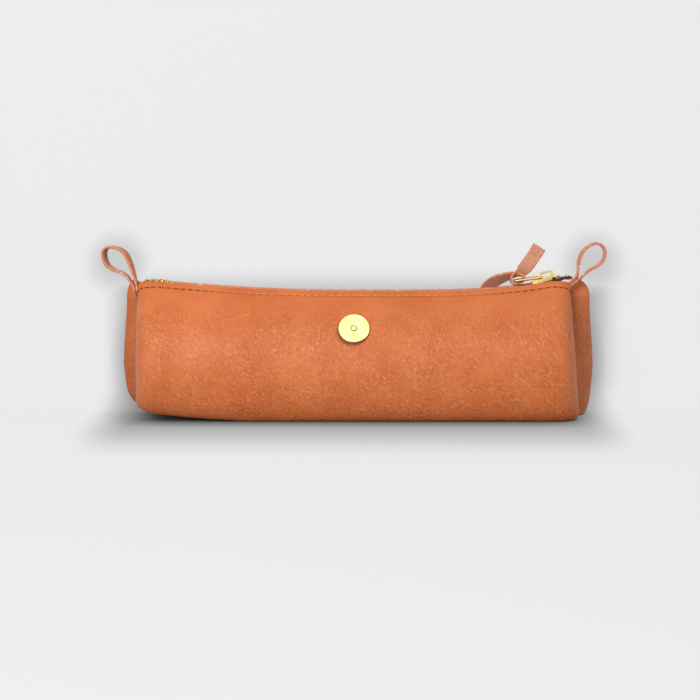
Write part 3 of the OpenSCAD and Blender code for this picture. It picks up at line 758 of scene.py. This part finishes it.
def leatherPanel(skin, number, name, materials):
    bm = skin.copy()
    panel = bm.faces.layers.int["panel"]
    bmesh.ops.delete(bm, geom=[face for face in bm.faces if face[panel] != number], context="FACES")
    hem = bm.verts.layers.float["hem"]
    out = bm.verts.layers.float_vector["out"]
    rim = thickened(bm, case["hideT"], 1, 2)
    mouth = {face for face in rim if max(vert[hem] for vert in face.verts) < case["rimNear"]}
    edges = [edge for face in mouth for edge in face.edges
             if sum(other in mouth for other in edge.link_faces) == 1 and
             any(other.material_index != 2 for other in edge.link_faces)]
    bevelled(bm, list(set(edges)), case["rimRound"], 2)
    bm.normal_update()
    smoothed(bm)
    wanted = []
    for face in bm.faces:
        for corner in face.loops:
            way = Vector(corner.vert[out])
            wanted.append((way, -way, face.normal.copy())[face.material_index])  # outside, inside, cut edge
    piece = finished(name, bm, materials)
    piece.data.normals_split_custom_set(wanted)
    return piece


mouthBend = {"left": (-0.072, -0.009), "right": (0.096, 0.009)}


def bendWithWall(piece, wall, half):
    start, end = mouthBend[half]
    y = -case["hingeY"] if wall == "front_wall" else case["hingeY"]
    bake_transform(piece, "case", wall, start=(start, y, case["hingeH"]), end=(end, y, case["hingeH"]))


# Strips of leather: the loops and the thong
stripShape = {"around": 16, "power": 6.0, "width": 0.007, "thickness": 0.0013}


def spline(path, k, t):
    a, b, c, d = path[max(k - 1, 0)], path[k], path[k + 1], path[min(k + 2, len(path) - 1)]
    square, cube = 2 * a - 5 * b + 4 * c - d, 3 * b - a - 3 * c + d
    return 0.5 * (2 * b + (c - a) * t + square * t * t + cube * t ** 3)


def along(path, steps):
    return [spline(path, k, s / steps) for k in range(len(path) - 1) for s in range(steps)] + [path[-1]]


def stripMesh(places, widths, steps):
    line, across = along(places, steps), along(widths, steps)
    last, around = len(line) - 1, stripShape["around"]
    half = stripShape["thickness"] / 2

    def place(i, j):
        run = (line[min(j + 1, last)] - line[max(j - 1, 0)]).normalized()
        w = across[j] - run * across[j].dot(run)
        wide = across[j].length * stripShape["width"] / 2
        w.normalize()
        up = run.cross(w)
        turn = 2 * math.pi * (i % around) / around
        c, s = math.cos(turn), math.sin(turn)
        squareC = math.copysign(abs(c) ** (2 / stripShape["power"]), c)
        squareS = math.copysign(abs(s) ** (2 / stripShape["power"]), s)
        return line[j] + w * wide * squareC + up * half * squareS

    bm = sheetGrid(around, last, place)
    bm.faces.ensure_lookup_table()
    return bm


def stripPiece(name, runs, materials):
    bm = bmesh.new()
    around = stripShape["around"]
    for places, widths, steps in runs:
        part = stripMesh(places, widths, steps)
        smoothed(part)
        tag = part.faces.layers.int.new("tag")
        part.faces.ensure_lookup_table()
        for face in part.faces:
            face[tag] = face.index % around
        bmesh.ops.remove_doubles(part, verts=part.verts, dist=1e-7)
        for face in part.faces:
            k = face[tag]
            cut = k in (0, 1, around - 1, around - 2) or abs(k - around / 2 + 0.5) < 2
            face.material_index = 2 if cut else (0 if k < around / 2 else 1)
        ends = [edge for edge in part.edges if edge.is_boundary]
        for face in bmesh.ops.holes_fill(part, edges=ends, sides=around)["faces"]:
            face.material_index = 2
        bmesh.ops.recalc_face_normals(part, faces=part.faces)
        joined(bm, part)
    return finished(name, bm, materials)


loopShape = {
    "length": 0.023,
    "rootH": {-1: 0.06399, 1: 0.06476},
    "turn": {-1: -12, 1: 0},
    "shares": {
        -1: [(-0.035, -0.1), (-0.031, 0.01), (0.012, 0.181), (0.065, 0.373), (0.139, 0.565), (0.224, 0.714),
             (0.352, 0.803), (0.5, 0.838), (0.628, 0.825), (0.692, 0.735), (0.681, 0.586), (0.607, 0.447),
             (0.479, 0.362), (0.33, 0.309), (0.203, 0.234), (0.118, 0.127), (0.033, -0.011), (0.026, -0.1)],
        1: [(-0.055, -0.09), (0.017, -0.01), (0.126, 0.1), (0.239, 0.217), (0.365, 0.326), (0.513, 0.409),
            (0.622, 0.5), (0.678, 0.626), (0.674, 0.761), (0.6, 0.857), (0.478, 0.887), (0.335, 0.826),
            (0.217, 0.713), (0.152, 0.574), (0.126, 0.422), (0.117, 0.283), (0.074, 0.152), (-0.026, 0.035),
            (-0.098, -0.045)],
    },
    "rootTwist": {-1: 16, 1: 22},
    "twistedStops": 5,
    "steps": 6,
}


def loopPiece(side, name, materials):
    turn = Matrix.Rotation(math.radians(loopShape["turn"][side]), 3, "Z")
    root = Vector((side * (fold["seamTopX"] + stripShape["thickness"]), 0, loopShape["rootH"][side]))
    shares = loopShape["shares"][side]
    flat = [Vector((side * out, 0, up)) * loopShape["length"] for out, up in shares]
    places = [root + turn @ p for p in flat]
    widths = []
    last = len(shares) - 1
    for k, p in enumerate(flat):
        toEnd = min(k, last - k)
        twist = math.radians(loopShape["rootTwist"][side]) * (1 - smooth(toEnd / loopShape["twistedStops"]))
        run = (flat[min(k + 1, last)] - flat[max(k - 1, 0)]).normalized() * (1 if k < last / 2 else -1)
        widths.append(turn @ (Matrix.Rotation(-side * twist, 3, run) @ Vector((0, 1, 0))))
    return stripPiece(name, [(places, widths, loopShape["steps"])], materials)


# The zip
zipShape = {
    "pitch": 0.0026,
    "toothT": 0.0011,
    "toothH": 0.0024,
    "chainW": 0.0056,
    "tapeT": 0.0006,
    "tapeSewn": 0.008,
    "chainSink": 0.0019,
    "chainRise": 0.0034,
    "chainStartRise": 0.0012,
    "sliderLen": 0.0126,
    "sliderW": 0.0088,
    "sliderX": 0.0934,
    "seat": 0.0001,
    "endDrop": 0.0009,
    "tapeEndShare": 0.15,
    "riseFrom": 0.9,
    "startRiseFrom": 0.8,
    "startRiseSpan": 0.2,
    "pitchesBefore": 2.5,
    "pitchesAfter": 0.3,
    "pitchesFree": 2.4,
    "slotRoom": 0.0005,
    "endRoom": 0.0004,
    "tapeColumn": 0.002,
    "tapeStrips": 4,
    "stripRows": 3,
}
chainStart = -case["wallHalf"] - zipShape["pitchesBefore"] * zipShape["pitch"]
chainEnd = fold["seamTopX"] + zipShape["pitchesAfter"] * zipShape["pitch"]
slotHalf = zipShape["sliderW"] / 2 + zipShape["slotRoom"]
endHalf = zipShape["chainW"] / 2 + zipShape["endRoom"]


def chainH(x):
    half = case["wallHalf"]
    start = zipShape["riseFrom"] * half
    rise = zipShape["chainRise"] * smooth((x - start) / (fold["seamTopX"] - start))
    leftOf = -x - zipShape["startRiseFrom"] * half
    startRise = zipShape["chainStartRise"] * smooth(leftOf / (zipShape["startRiseSpan"] * half))
    return edgeH(x) - zipShape["chainSink"] + rise + startRise


def parting(x):
    return 1.5 * zipShape["tapeT"] * smooth((x - zipShape["sliderX"]) / (0.25 * zipShape["sliderLen"]) - 1)


def wallOff(way, x, v, off):
    a, b = wallPoint(way, x, v - 0.02), wallPoint(way, x, v + 0.02)
    t = (b - a).normalized()
    return wallPoint(way, x, v) + Vector((0, way * t.z, -way * t.y)) * off


def tapeLine(way, x):  # the tape's middle line, from its sewn edge to the teeth
    back = -(case["hideT"] + 2 * zipShape["seat"] + zipShape["tapeT"] / 2)
    half = case["wallHalf"]
    at = min(max(x, -half), half)
    past = (abs(x) - half) / (fold["seamTopX"] - half)
    narrow, flatNarrow = smooth(1.6 * past), smooth(1.2 * past - 0.2)
    sewn = zipShape["tapeSewn"]
    tuck = max(0.0, edgeH(at) - chainH(at) - zipShape["tapeT"])
    low = belowEdge(mix(sewn, tuck + sewn * zipShape["tapeEndShare"], smooth((abs(x) - half) / sewn + 1)))
    top = belowEdge(tuck)
    out = way * (endHalf + parting(x))
    line = []
    for k, share in enumerate((low, (low + top) / 2, top)):
        p = wallOff(way, at, share, back)
        drop = zipShape["endDrop"] * (3 - k) / 3
        line.append(Vector((x, mix(p.y, out, narrow), mix(p.z, chainH(x) - drop, narrow))))
    line.append(Vector((x, mix(way * slotHalf, out, flatNarrow), chainH(x))))
    line.append(Vector((x, way * (1.5 * zipShape["tapeT"] + parting(x)), chainH(x))))
    return line


def tapePiece(way, start, end, name, material):
    columns = max(4, round((end - start) / zipShape["tapeColumn"]))
    strips, rows = zipShape["tapeStrips"], zipShape["stripRows"]

    def place(i, j):
        line = tapeLine(way, mix(start, end, i / columns))
        k = min(j // rows, strips - 1)
        return line[k].lerp(line[k + 1], (j - rows * k) / rows)

    bm = sheetGrid(columns, strips * rows, place)
    bmesh.ops.recalc_face_normals(bm, faces=bm.faces)
    bm.normal_update()
    out = bm.verts.layers.float_vector.new("out")
    for vert in bm.verts:
        vert[out] = vert.normal
        vert.co += vert.normal * zipShape["tapeT"] / 2
    thickened(bm, zipShape["tapeT"], 0, 0)
    bm.verts.layers.float_vector.remove(bm.verts.layers.float_vector["out"])
    return finished(name, bm, [material])


tooth = {"headBack": 0.12, "headT": 0.78, "headW": 0.36, "headH": 0.66, "round": 0.16}


def toothMesh(way):
    bm = bmesh.new()
    t, h, w = zipShape["toothT"], zipShape["toothH"], zipShape["chainW"] / 2
    jaw = Matrix.Translation((0, way * w / 2, 0)) @ Matrix.Diagonal((t, w, h, 1))
    headSize = Matrix.Diagonal((t * tooth["headT"], w * tooth["headW"], h * tooth["headH"], 1))
    head = Matrix.Translation((0, -way * w * tooth["headBack"], 0)) @ headSize
    bmesh.ops.create_cube(bm, size=1, matrix=jaw)
    bmesh.ops.create_cube(bm, size=1, matrix=head)
    bevelled(bm, list(bm.edges), t * tooth["round"])
    smoothed(bm)
    return meshOf("tooth", bm)


teethCount = int((chainEnd - chainStart - zipShape["pitchesFree"] * zipShape["pitch"]) / zipShape["pitch"])


def toothX(way, i):
    return chainStart + (1.5 + i + (0.5 if way > 0 else 0)) * zipShape["pitch"]


def teethPiece(way, low, high, name, material):
    one = toothMesh(way)
    bm = bmesh.new()
    for i in range(teethCount):
        x = toothX(way, i)
        if not low <= x < high:
            continue
        slope = (chainH(x + 0.001) - chainH(x - 0.001)) / 0.002
        place = Vector((x, way * parting(x), chainH(x)))
        known = len(bm.verts)
        bm.from_mesh(one)
        bm.verts.ensure_lookup_table()
        turn = Matrix.Translation(place) @ Matrix.Rotation(-math.atan(slope), 4, "Y")
        bmesh.ops.transform(bm, matrix=turn, verts=bm.verts[known:])
    bpy.data.meshes.remove(one)
    return finished(name, bm, [material])


# Copies of metal parts of the frame, with their edges rounded
metalCopies = {  # the body that each rides on, and how far its edges are rounded
    "bottom_stop": ("case", 0.00018),
    "front_top_stop": ("case", 0.00018),
    "back_top_stop": ("case", 0.00018),
    "slider_body": ("slider", 0.0002),
    "slider_bridge": ("slider", 0.0003),
    "badge_disc": ("front_wall", 0.0001),
    "badge_rivet": ("front_wall", 0.0001),
    "rivet_washer": ("front_wall", 0.0001),
}
copying = {"weld": 1e-6, "flatUpTo": 1, "sharpFrom": 28, "linkRound": 0.00005}


def roundedCopy(node, name, material, width):
    bm = bmesh.new()
    bm.from_mesh(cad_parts[node].data)
    bmesh.ops.remove_doubles(bm, verts=bm.verts, dist=copying["weld"])
    flatUpTo, sharpFrom = math.radians(copying["flatUpTo"]), math.radians(copying["sharpFrom"])
    bmesh.ops.dissolve_limit(bm, angle_limit=flatUpTo, verts=bm.verts, edges=bm.edges)
    sharp = [edge for edge in bm.edges if edge.is_manifold and edge.calc_face_angle() > sharpFrom]
    bevelled(bm, sharp, width, clamp=True)
    smoothed(bm)
    piece = finished(name, bm, [material])
    piece.modifiers.new("flatter", "WEIGHTED_NORMAL")
    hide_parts(node)
    return piece


# Stitches
thread = {"pitch": 0.0036, "length": 0.0026, "proud": 0.00012, "width": 0.00058}


def oneStitch(bm, place, run, out):
    run = run.normalized()
    out = (out - run * out.dot(run)).normalized()
    side = out.cross(run)
    turn = Matrix((run, side, out)).transposed().to_4x4()
    size = Matrix.Diagonal((thread["length"] / 2, thread["width"] / 2, thread["width"] / 2, 1))
    bmesh.ops.create_uvsphere(bm, u_segments=8, v_segments=6, radius=1,
                              matrix=Matrix.Translation(place) @ turn @ size)


def stitchRow(places, name, material):
    bm = bmesh.new()
    for place, run, out in places:
        oneStitch(bm, place, run, out)
    smoothed(bm)
    return finished(name, bm, [material])


def wallStitches(way, low, high):
    v = belowEdge(case["stitchDrop"])
    count = int(2 * case["wallHalf"] / thread["pitch"])
    row = []
    for i in range(count):
        x = (i - (count - 1) / 2) * thread["pitch"]
        if low <= x < high:
            run = wallPoint(way, x + 0.001, v) - wallPoint(way, x - 0.001, v)
            up = wallPoint(way, x, v + 0.01) - wallPoint(way, x, v - 0.01)
            out = run.cross(up) * -way
            row.append((wallPoint(way, x, v) + out.normalized() * thread["proud"], run, out))
    return row


endRow = {"steps": 400, "reach": 0.97, "near": 0.01, "firstPart": 3, "pitchShare": 0.86}


def endStitches(side):  # on round the front fold, down into the seam
    row = []
    gone = 0.0
    wanted = thread["pitch"] / endRow["firstPart"]
    near = endRow["near"]

    def place(q, lower=0.0):
        return endPoint(side, q, belowEdge(case["stitchDrop"] * stitchReach(endPoint, q)) - lower)

    last = place(-1.0)
    for k in range(1, endRow["steps"]):
        q = endRow["reach"] * k / endRow["steps"] - 1
        here = place(q)
        gone += (here - last).length
        if gone >= wanted:
            wanted += thread["pitch"] * endRow["pitchShare"]
            run = here - place(q - near)
            out = run.cross(place(q, -near) - place(q, near))
            if out.x * side < 0 and abs(out.x) > abs(out.y) or out.y > 0 and abs(out.y) > abs(out.x):
                out = -out
            row.append((here + out.normalized() * thread["proud"], run, out))
        last = here
    return row


seamShape = {
    "stitchFrom": 1.4,
    "firstAt": 0.4,
    "stitchIn": 0.35,
    "gap": 0.0001,
    "plyColumns": 5,
    "plyRows": 24,
    "plyUnder": 0.6,
    "plyGap": 0.00003,
    "ripple": 0.0001,
    "rippleTurn": 1.3,
}


def seamStitches(side):
    row = []
    start = fold["backToeH"] * seamShape["stitchFrom"]
    count = int((case["caseH"] - fold["dip"] - start - thread["pitch"]) / thread["pitch"])
    for way in (-1, 1):
        for i in range(count):
            z = start + (i + seamShape["firstAt"]) * thread["pitch"]
            x = side * (seamX(z) - case["hideT"] - fold["allowance"] * seamShape["stitchIn"])
            run = Vector((side * (seamX(z + 0.001) - seamX(z - 0.001)), 0, 0.002))
            y = way * (case["hideT"] + seamShape["gap"] + thread["width"] / 2)
            row.append((Vector((x, y, z)), run, Vector((0, way, 0))))
    return row


def seamAllowance(side, name, materials):
    bottom, top = fold["backToeH"], case["caseH"] - fold["dip"] - case["hideT"]
    inner = fold["allowance"] + case["hideT"]
    columns, rows = seamShape["plyColumns"], seamShape["plyRows"]
    bm = bmesh.new()
    for way in (-1, 1):
        def place(i, j):
            z = mix(bottom, top, j / rows)
            x = side * (seamX(z) - mix(case["hideT"] * seamShape["plyUnder"], inner, i / columns))
            ripple = seamShape["ripple"] * math.sin(j * seamShape["rippleTurn"] + way) * i / columns
            return Vector((x, way * (seamShape["plyGap"] + ripple), z))

        ply = sheetGrid(columns, rows, place)
        out = ply.verts.layers.float_vector.new("out")
        for vert in ply.verts:
            vert[out] = Vector((0, -way, 0))
        thickened(ply, case["hideT"], 0, 1)
        joined(bm, ply)
    return finished(name, bm, materials)


# The thong threaded through the link
thong = {
    "bar": (0.07856, 0, 0.06706),
    "step": 0.001,
    "end": [(12, -1, 16.6), (8.4, -1, 11), (5.4, -0.8, 6.8), (2.6, -0.3, 4.2), (-0.6, 0, 2.9), (-1.9, 0, 0.6),
            (-1.1, 0, -1.15), (0.8, 0, -1.4), (3, 0, -0.9), (4.4, 0, 0.8)],
    "endWidths": [(0.87, 0, -0.48), (0.87, 0.05, -0.48), (0.86, 0.2, -0.47), (0.68, 0.6, -0.4),
                  (0.15, 0.85, -0.1), (0, 0.82, 0), (0, 0.82, 0), (0, 0.82, 0), (0, 0.82, 0), (0, 0.82, 0)],
    "tail": [(4.4, 0, 0.8), (4.3, 0.3, 2.2), (2.4, 0.8, 3), (-1.4, 1.8, 2.8), (-5.2, 4.4, 1.4),
             (-8.4, 9, -0.4), (-11, 14.2, -2.8), (-12.6, 18.8, -5.6), (-13.4, 22.4, -9)],
    "tailWidths": [(0, 0.82, 0), (0, 0.82, 0), (0, 0.83, -0.15), (0, 0.86, -0.4), (0.3, 0.8, -0.5),
                   (0.62, 0.6, -0.5), (0.78, 0.42, -0.42), (0.85, 0.36, -0.3), (0.88, 0.34, -0.2)],
    "steps": 8,
}


def thongPiece(name, materials):
    def run(placesName, widthsName):
        places = [Vector(thong["bar"]) + Vector(p) * thong["step"] for p in thong[placesName]]
        return (places, [Vector(w) for w in thong[widthsName]], thong["steps"])

    return stripPiece(name, [run("end", "endWidths"), run("tail", "tailWidths")], materials)


# Floor and backdrop
def paperFinish():
    f = Finish("paper")
    f.tree.nodes.remove(f.shader)
    place = f.here()
    eyeX, eyeY, eyeZ = view["place"]
    nearer = (f.part(place, "Y") - eyeY) ** -1 * -eyeY
    x = (f.part(place, "X") - eyeX) * nearer + eyeX
    z = (f.part(place, "Z") - eyeZ) * nearer + eyeZ
    # painted shade round the case on the backdrop, with round spots for the loops, and on the floor round the
    # case's foot
    shape = shadeOfCase
    overX = abs(x - shape["middle"][0]) - shape["half"][0]
    overZ = abs(z - shape["middle"][1]) - shape["half"][1]
    awayX, awayZ = overX.most(0), overZ.most(0)
    away = (awayX * awayX + awayZ * awayZ) ** 0.5 + overX.most(overZ).least(0)
    halo = (1 - away.step(shape["inside"], shape["outside"])) * shape["share"]
    for spotX, spotZ in shape["spots"]:
        gone = ((x - spotX) * (x - spotX) + (z - spotZ) * (z - spotZ)) ** 0.5 - shape["spotRadius"]
        halo = halo.most((1 - gone.step(shape["spotInside"], shape["spotOutside"])) * shape["spotShare"])
    sideways = (abs(f.part(place, "X")) - shape["foot"][0]).most(0)
    forward = (abs(f.part(place, "Y")) - shape["foot"][1]).most(0) * shape["forward"]
    off = (sideways * sideways + forward * forward) ** 0.5
    low = (1 - off.step(shape["footInside"], shape["footOutside"])) * shape["footShare"]
    up = f.part(place, "Z").step(0.0, view["coveRadius"])
    halo = halo * up + low * (1 - up)
    reach = {"Distance": view["hollowReach"]}
    near = f.node("AmbientOcclusion", {"samples": view["hollowSamples"]}, reach, "AO")
    alone = f.node("AmbientOcclusion", {"samples": view["hollowSamples"], "only_local": True},
                   reach, "AO")
    pale = seen(*view["background"])
    # painted shade: the paper's glow is darkened near the case by occlusion and by the drawn shade
    strength = (near / alone).least(1) * (1 - halo) ** view["shadePower"]
    glow = f.node("Emission", {}, {"Color": pale, "Strength": strength})
    shown = f.node("MixShader", {},
                   {0: view["litShare"], 1: glow, 2: f.node("BsdfDiffuse", {}, {"Color": pale})})
    path = f.node("LightPath", output="Is Camera Ray")
    looked = path.most(f.node("LightPath", output="Is Glossy Ray"))
    shade = f.node("BsdfDiffuse", {}, {"Color": seen(*view["shade"])})
    front = f.node("MixShader", {}, {0: looked, 1: shade, 2: shown})
    shadowRay = f.node("LightPath", output="Is Shadow Ray")
    unseen = f.node("NewGeometry", output="Backfacing").most(shadowRay)
    paper = f.node("MixShader", {}, {0: unseen, 1: front, 2: f.node("BsdfTransparent")})
    f.tree.links.new(paper.socket, f.end.inputs["Surface"])
    return f.material


def nextStrip(bm, geom, far):  # the sheet grows from its far edge
    edges = [part for part in only(bmesh.types.BMEdge, geom) if all(vert in far for vert in part.verts)]
    geom = bmesh.ops.extrude_edge_only(bm, edges=edges)["geom"]
    return geom, only(bmesh.types.BMVert, geom)


def makeStage():
    bm = bmesh.new()
    reach, behind, radius = view["floorReach"], view["backdropBehind"], view["coveRadius"]
    edge = [bm.verts.new((-reach, -reach, 0)), bm.verts.new((reach, -reach, 0))]
    bm.edges.new(edge)
    geom = bmesh.ops.extrude_edge_only(bm, edges=bm.edges)["geom"]
    far = only(bmesh.types.BMVert, geom)
    bmesh.ops.translate(bm, verts=far, vec=(0, reach + behind, 0))
    turn = Matrix.Rotation(math.radians(90 / view["coveSteps"]), 3, "X")
    for _ in range(view["coveSteps"]):
        geom, far = nextStrip(bm, geom, far)
        bmesh.ops.rotate(bm, verts=far, cent=(0, behind, radius), matrix=turn)
    geom, far = nextStrip(bm, geom, far)
    bmesh.ops.translate(bm, verts=far, vec=(0, 0, view["wallHeight"]))
    smoothed(bm)
    bmesh.ops.recalc_face_normals(bm, faces=bm.faces)
    bm.normal_update()
    bm.faces.ensure_lookup_table()
    if bm.faces[0].normal.z < 0:
        bmesh.ops.reverse_faces(bm, faces=bm.faces)
    middle = Matrix.Translation((0, reach / 2 + behind, 0)) @ Matrix.Diagonal((1, 0.5, 1, 1))
    bmesh.ops.create_grid(bm, x_segments=1, y_segments=1, size=reach, matrix=middle)  # floor seen from behind
    mesh = meshOf("paper", bm)
    mesh.materials.append(paperFinish())
    paper = placed("paper", mesh)


makeCamera()
makeLamps()
makeWorld()
makeStage()
print("camera, light and paper are set")

grain, flesh, edge = tanLeather(), fleshSide(), cutEdge()
tapeCloth, threadFinish = zipTape(), waxedThread()
discBrass, paleBrass, zipBrass, antiqueAndShadedBrass = [brass(name) for name in brassLooks]
hide = [grain, flesh, edge]

skin = outerSkin()
body = leatherPanel(skin, 0, "case_leather", hide)
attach(body, "case")
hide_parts("leather_body")
for number, (wall, half) in enumerate([("front_wall", "left"), ("front_wall", "right"),
                                       ("back_wall", "left"), ("back_wall", "right")], start=1):
    lip = leatherPanel(skin, number, wall + "_leather_" + half, hide)
    bendWithWall(lip, wall, half)
    if half == "left":
        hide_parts("front_lip" if wall == "front_wall" else "back_lip")
skin.free()
for side, word in ((-1, "left"), (1, "right")):
    ply = seamAllowance(side, word + "_seam_allowance", [flesh, edge])
    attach(ply, "case")
    seam = stitchRow(seamStitches(side), word + "_seam_stitches", threadFinish)
    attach(seam, "case")
    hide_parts(word + "_seam_thread")
    loop = loopPiece(side, word + "_hanging_loop", [flesh, grain, edge])
    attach(loop, "case")
    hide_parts(word + "_loop")
print("leather is made")

half = case["wallHalf"]
spans = {"left": (-half, 0.0), "right": (0.0, half)}
for way, wall, word in ((-1, "front_wall", "front"), (1, "back_wall", "back")):
    for part, (low, high) in spans.items():
        tape = tapePiece(way, low, high, word + "_tape_" + part, tapeCloth)
        bendWithWall(tape, wall, part)
        teeth = teethPiece(way, low, high, word + "_teeth_" + part, antiqueAndShadedBrass)
        bendWithWall(teeth, wall, part)
        stitches = stitchRow(wallStitches(way, low, high), word + "_stitches_" + part, threadFinish)
        bendWithWall(stitches, wall, part)
        if part == "left":
            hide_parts(word + "_zip_tape")
            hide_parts(word + "_zip_teeth")
            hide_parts(word + "_topstitch")
    for part, low, high in (("start", chainStart, -half), ("finish", half, chainEnd)):
        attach(tapePiece(way, low, high, word + "_tape_" + part, tapeCloth), "case")
        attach(teethPiece(way, low, high, word + "_teeth_" + part, antiqueAndShadedBrass), "case")
for side, part in ((-1, "start"), (1, "finish")):
    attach(stitchRow(endStitches(side), "front_stitches_" + part, threadFinish), "case")
print("zip and stitches are made")

for node, (rider, width) in metalCopies.items():
    finish = {"badge_disc": discBrass, "badge_rivet": paleBrass, "rivet_washer": paleBrass,
              "bottom_stop": antiqueAndShadedBrass}.get(node, zipBrass)
    piece = roundedCopy(node, node + "_round", finish, width)
    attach(piece, rider)
link = roundedCopy("pull_link", "pull_link_wire", zipBrass, copying["linkRound"])
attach(link, "pull")
strap = thongPiece("pull_thong", [flesh, grain, edge])
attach(strap, "pull")
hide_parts("pull_strap")
print("metal and thong are made")
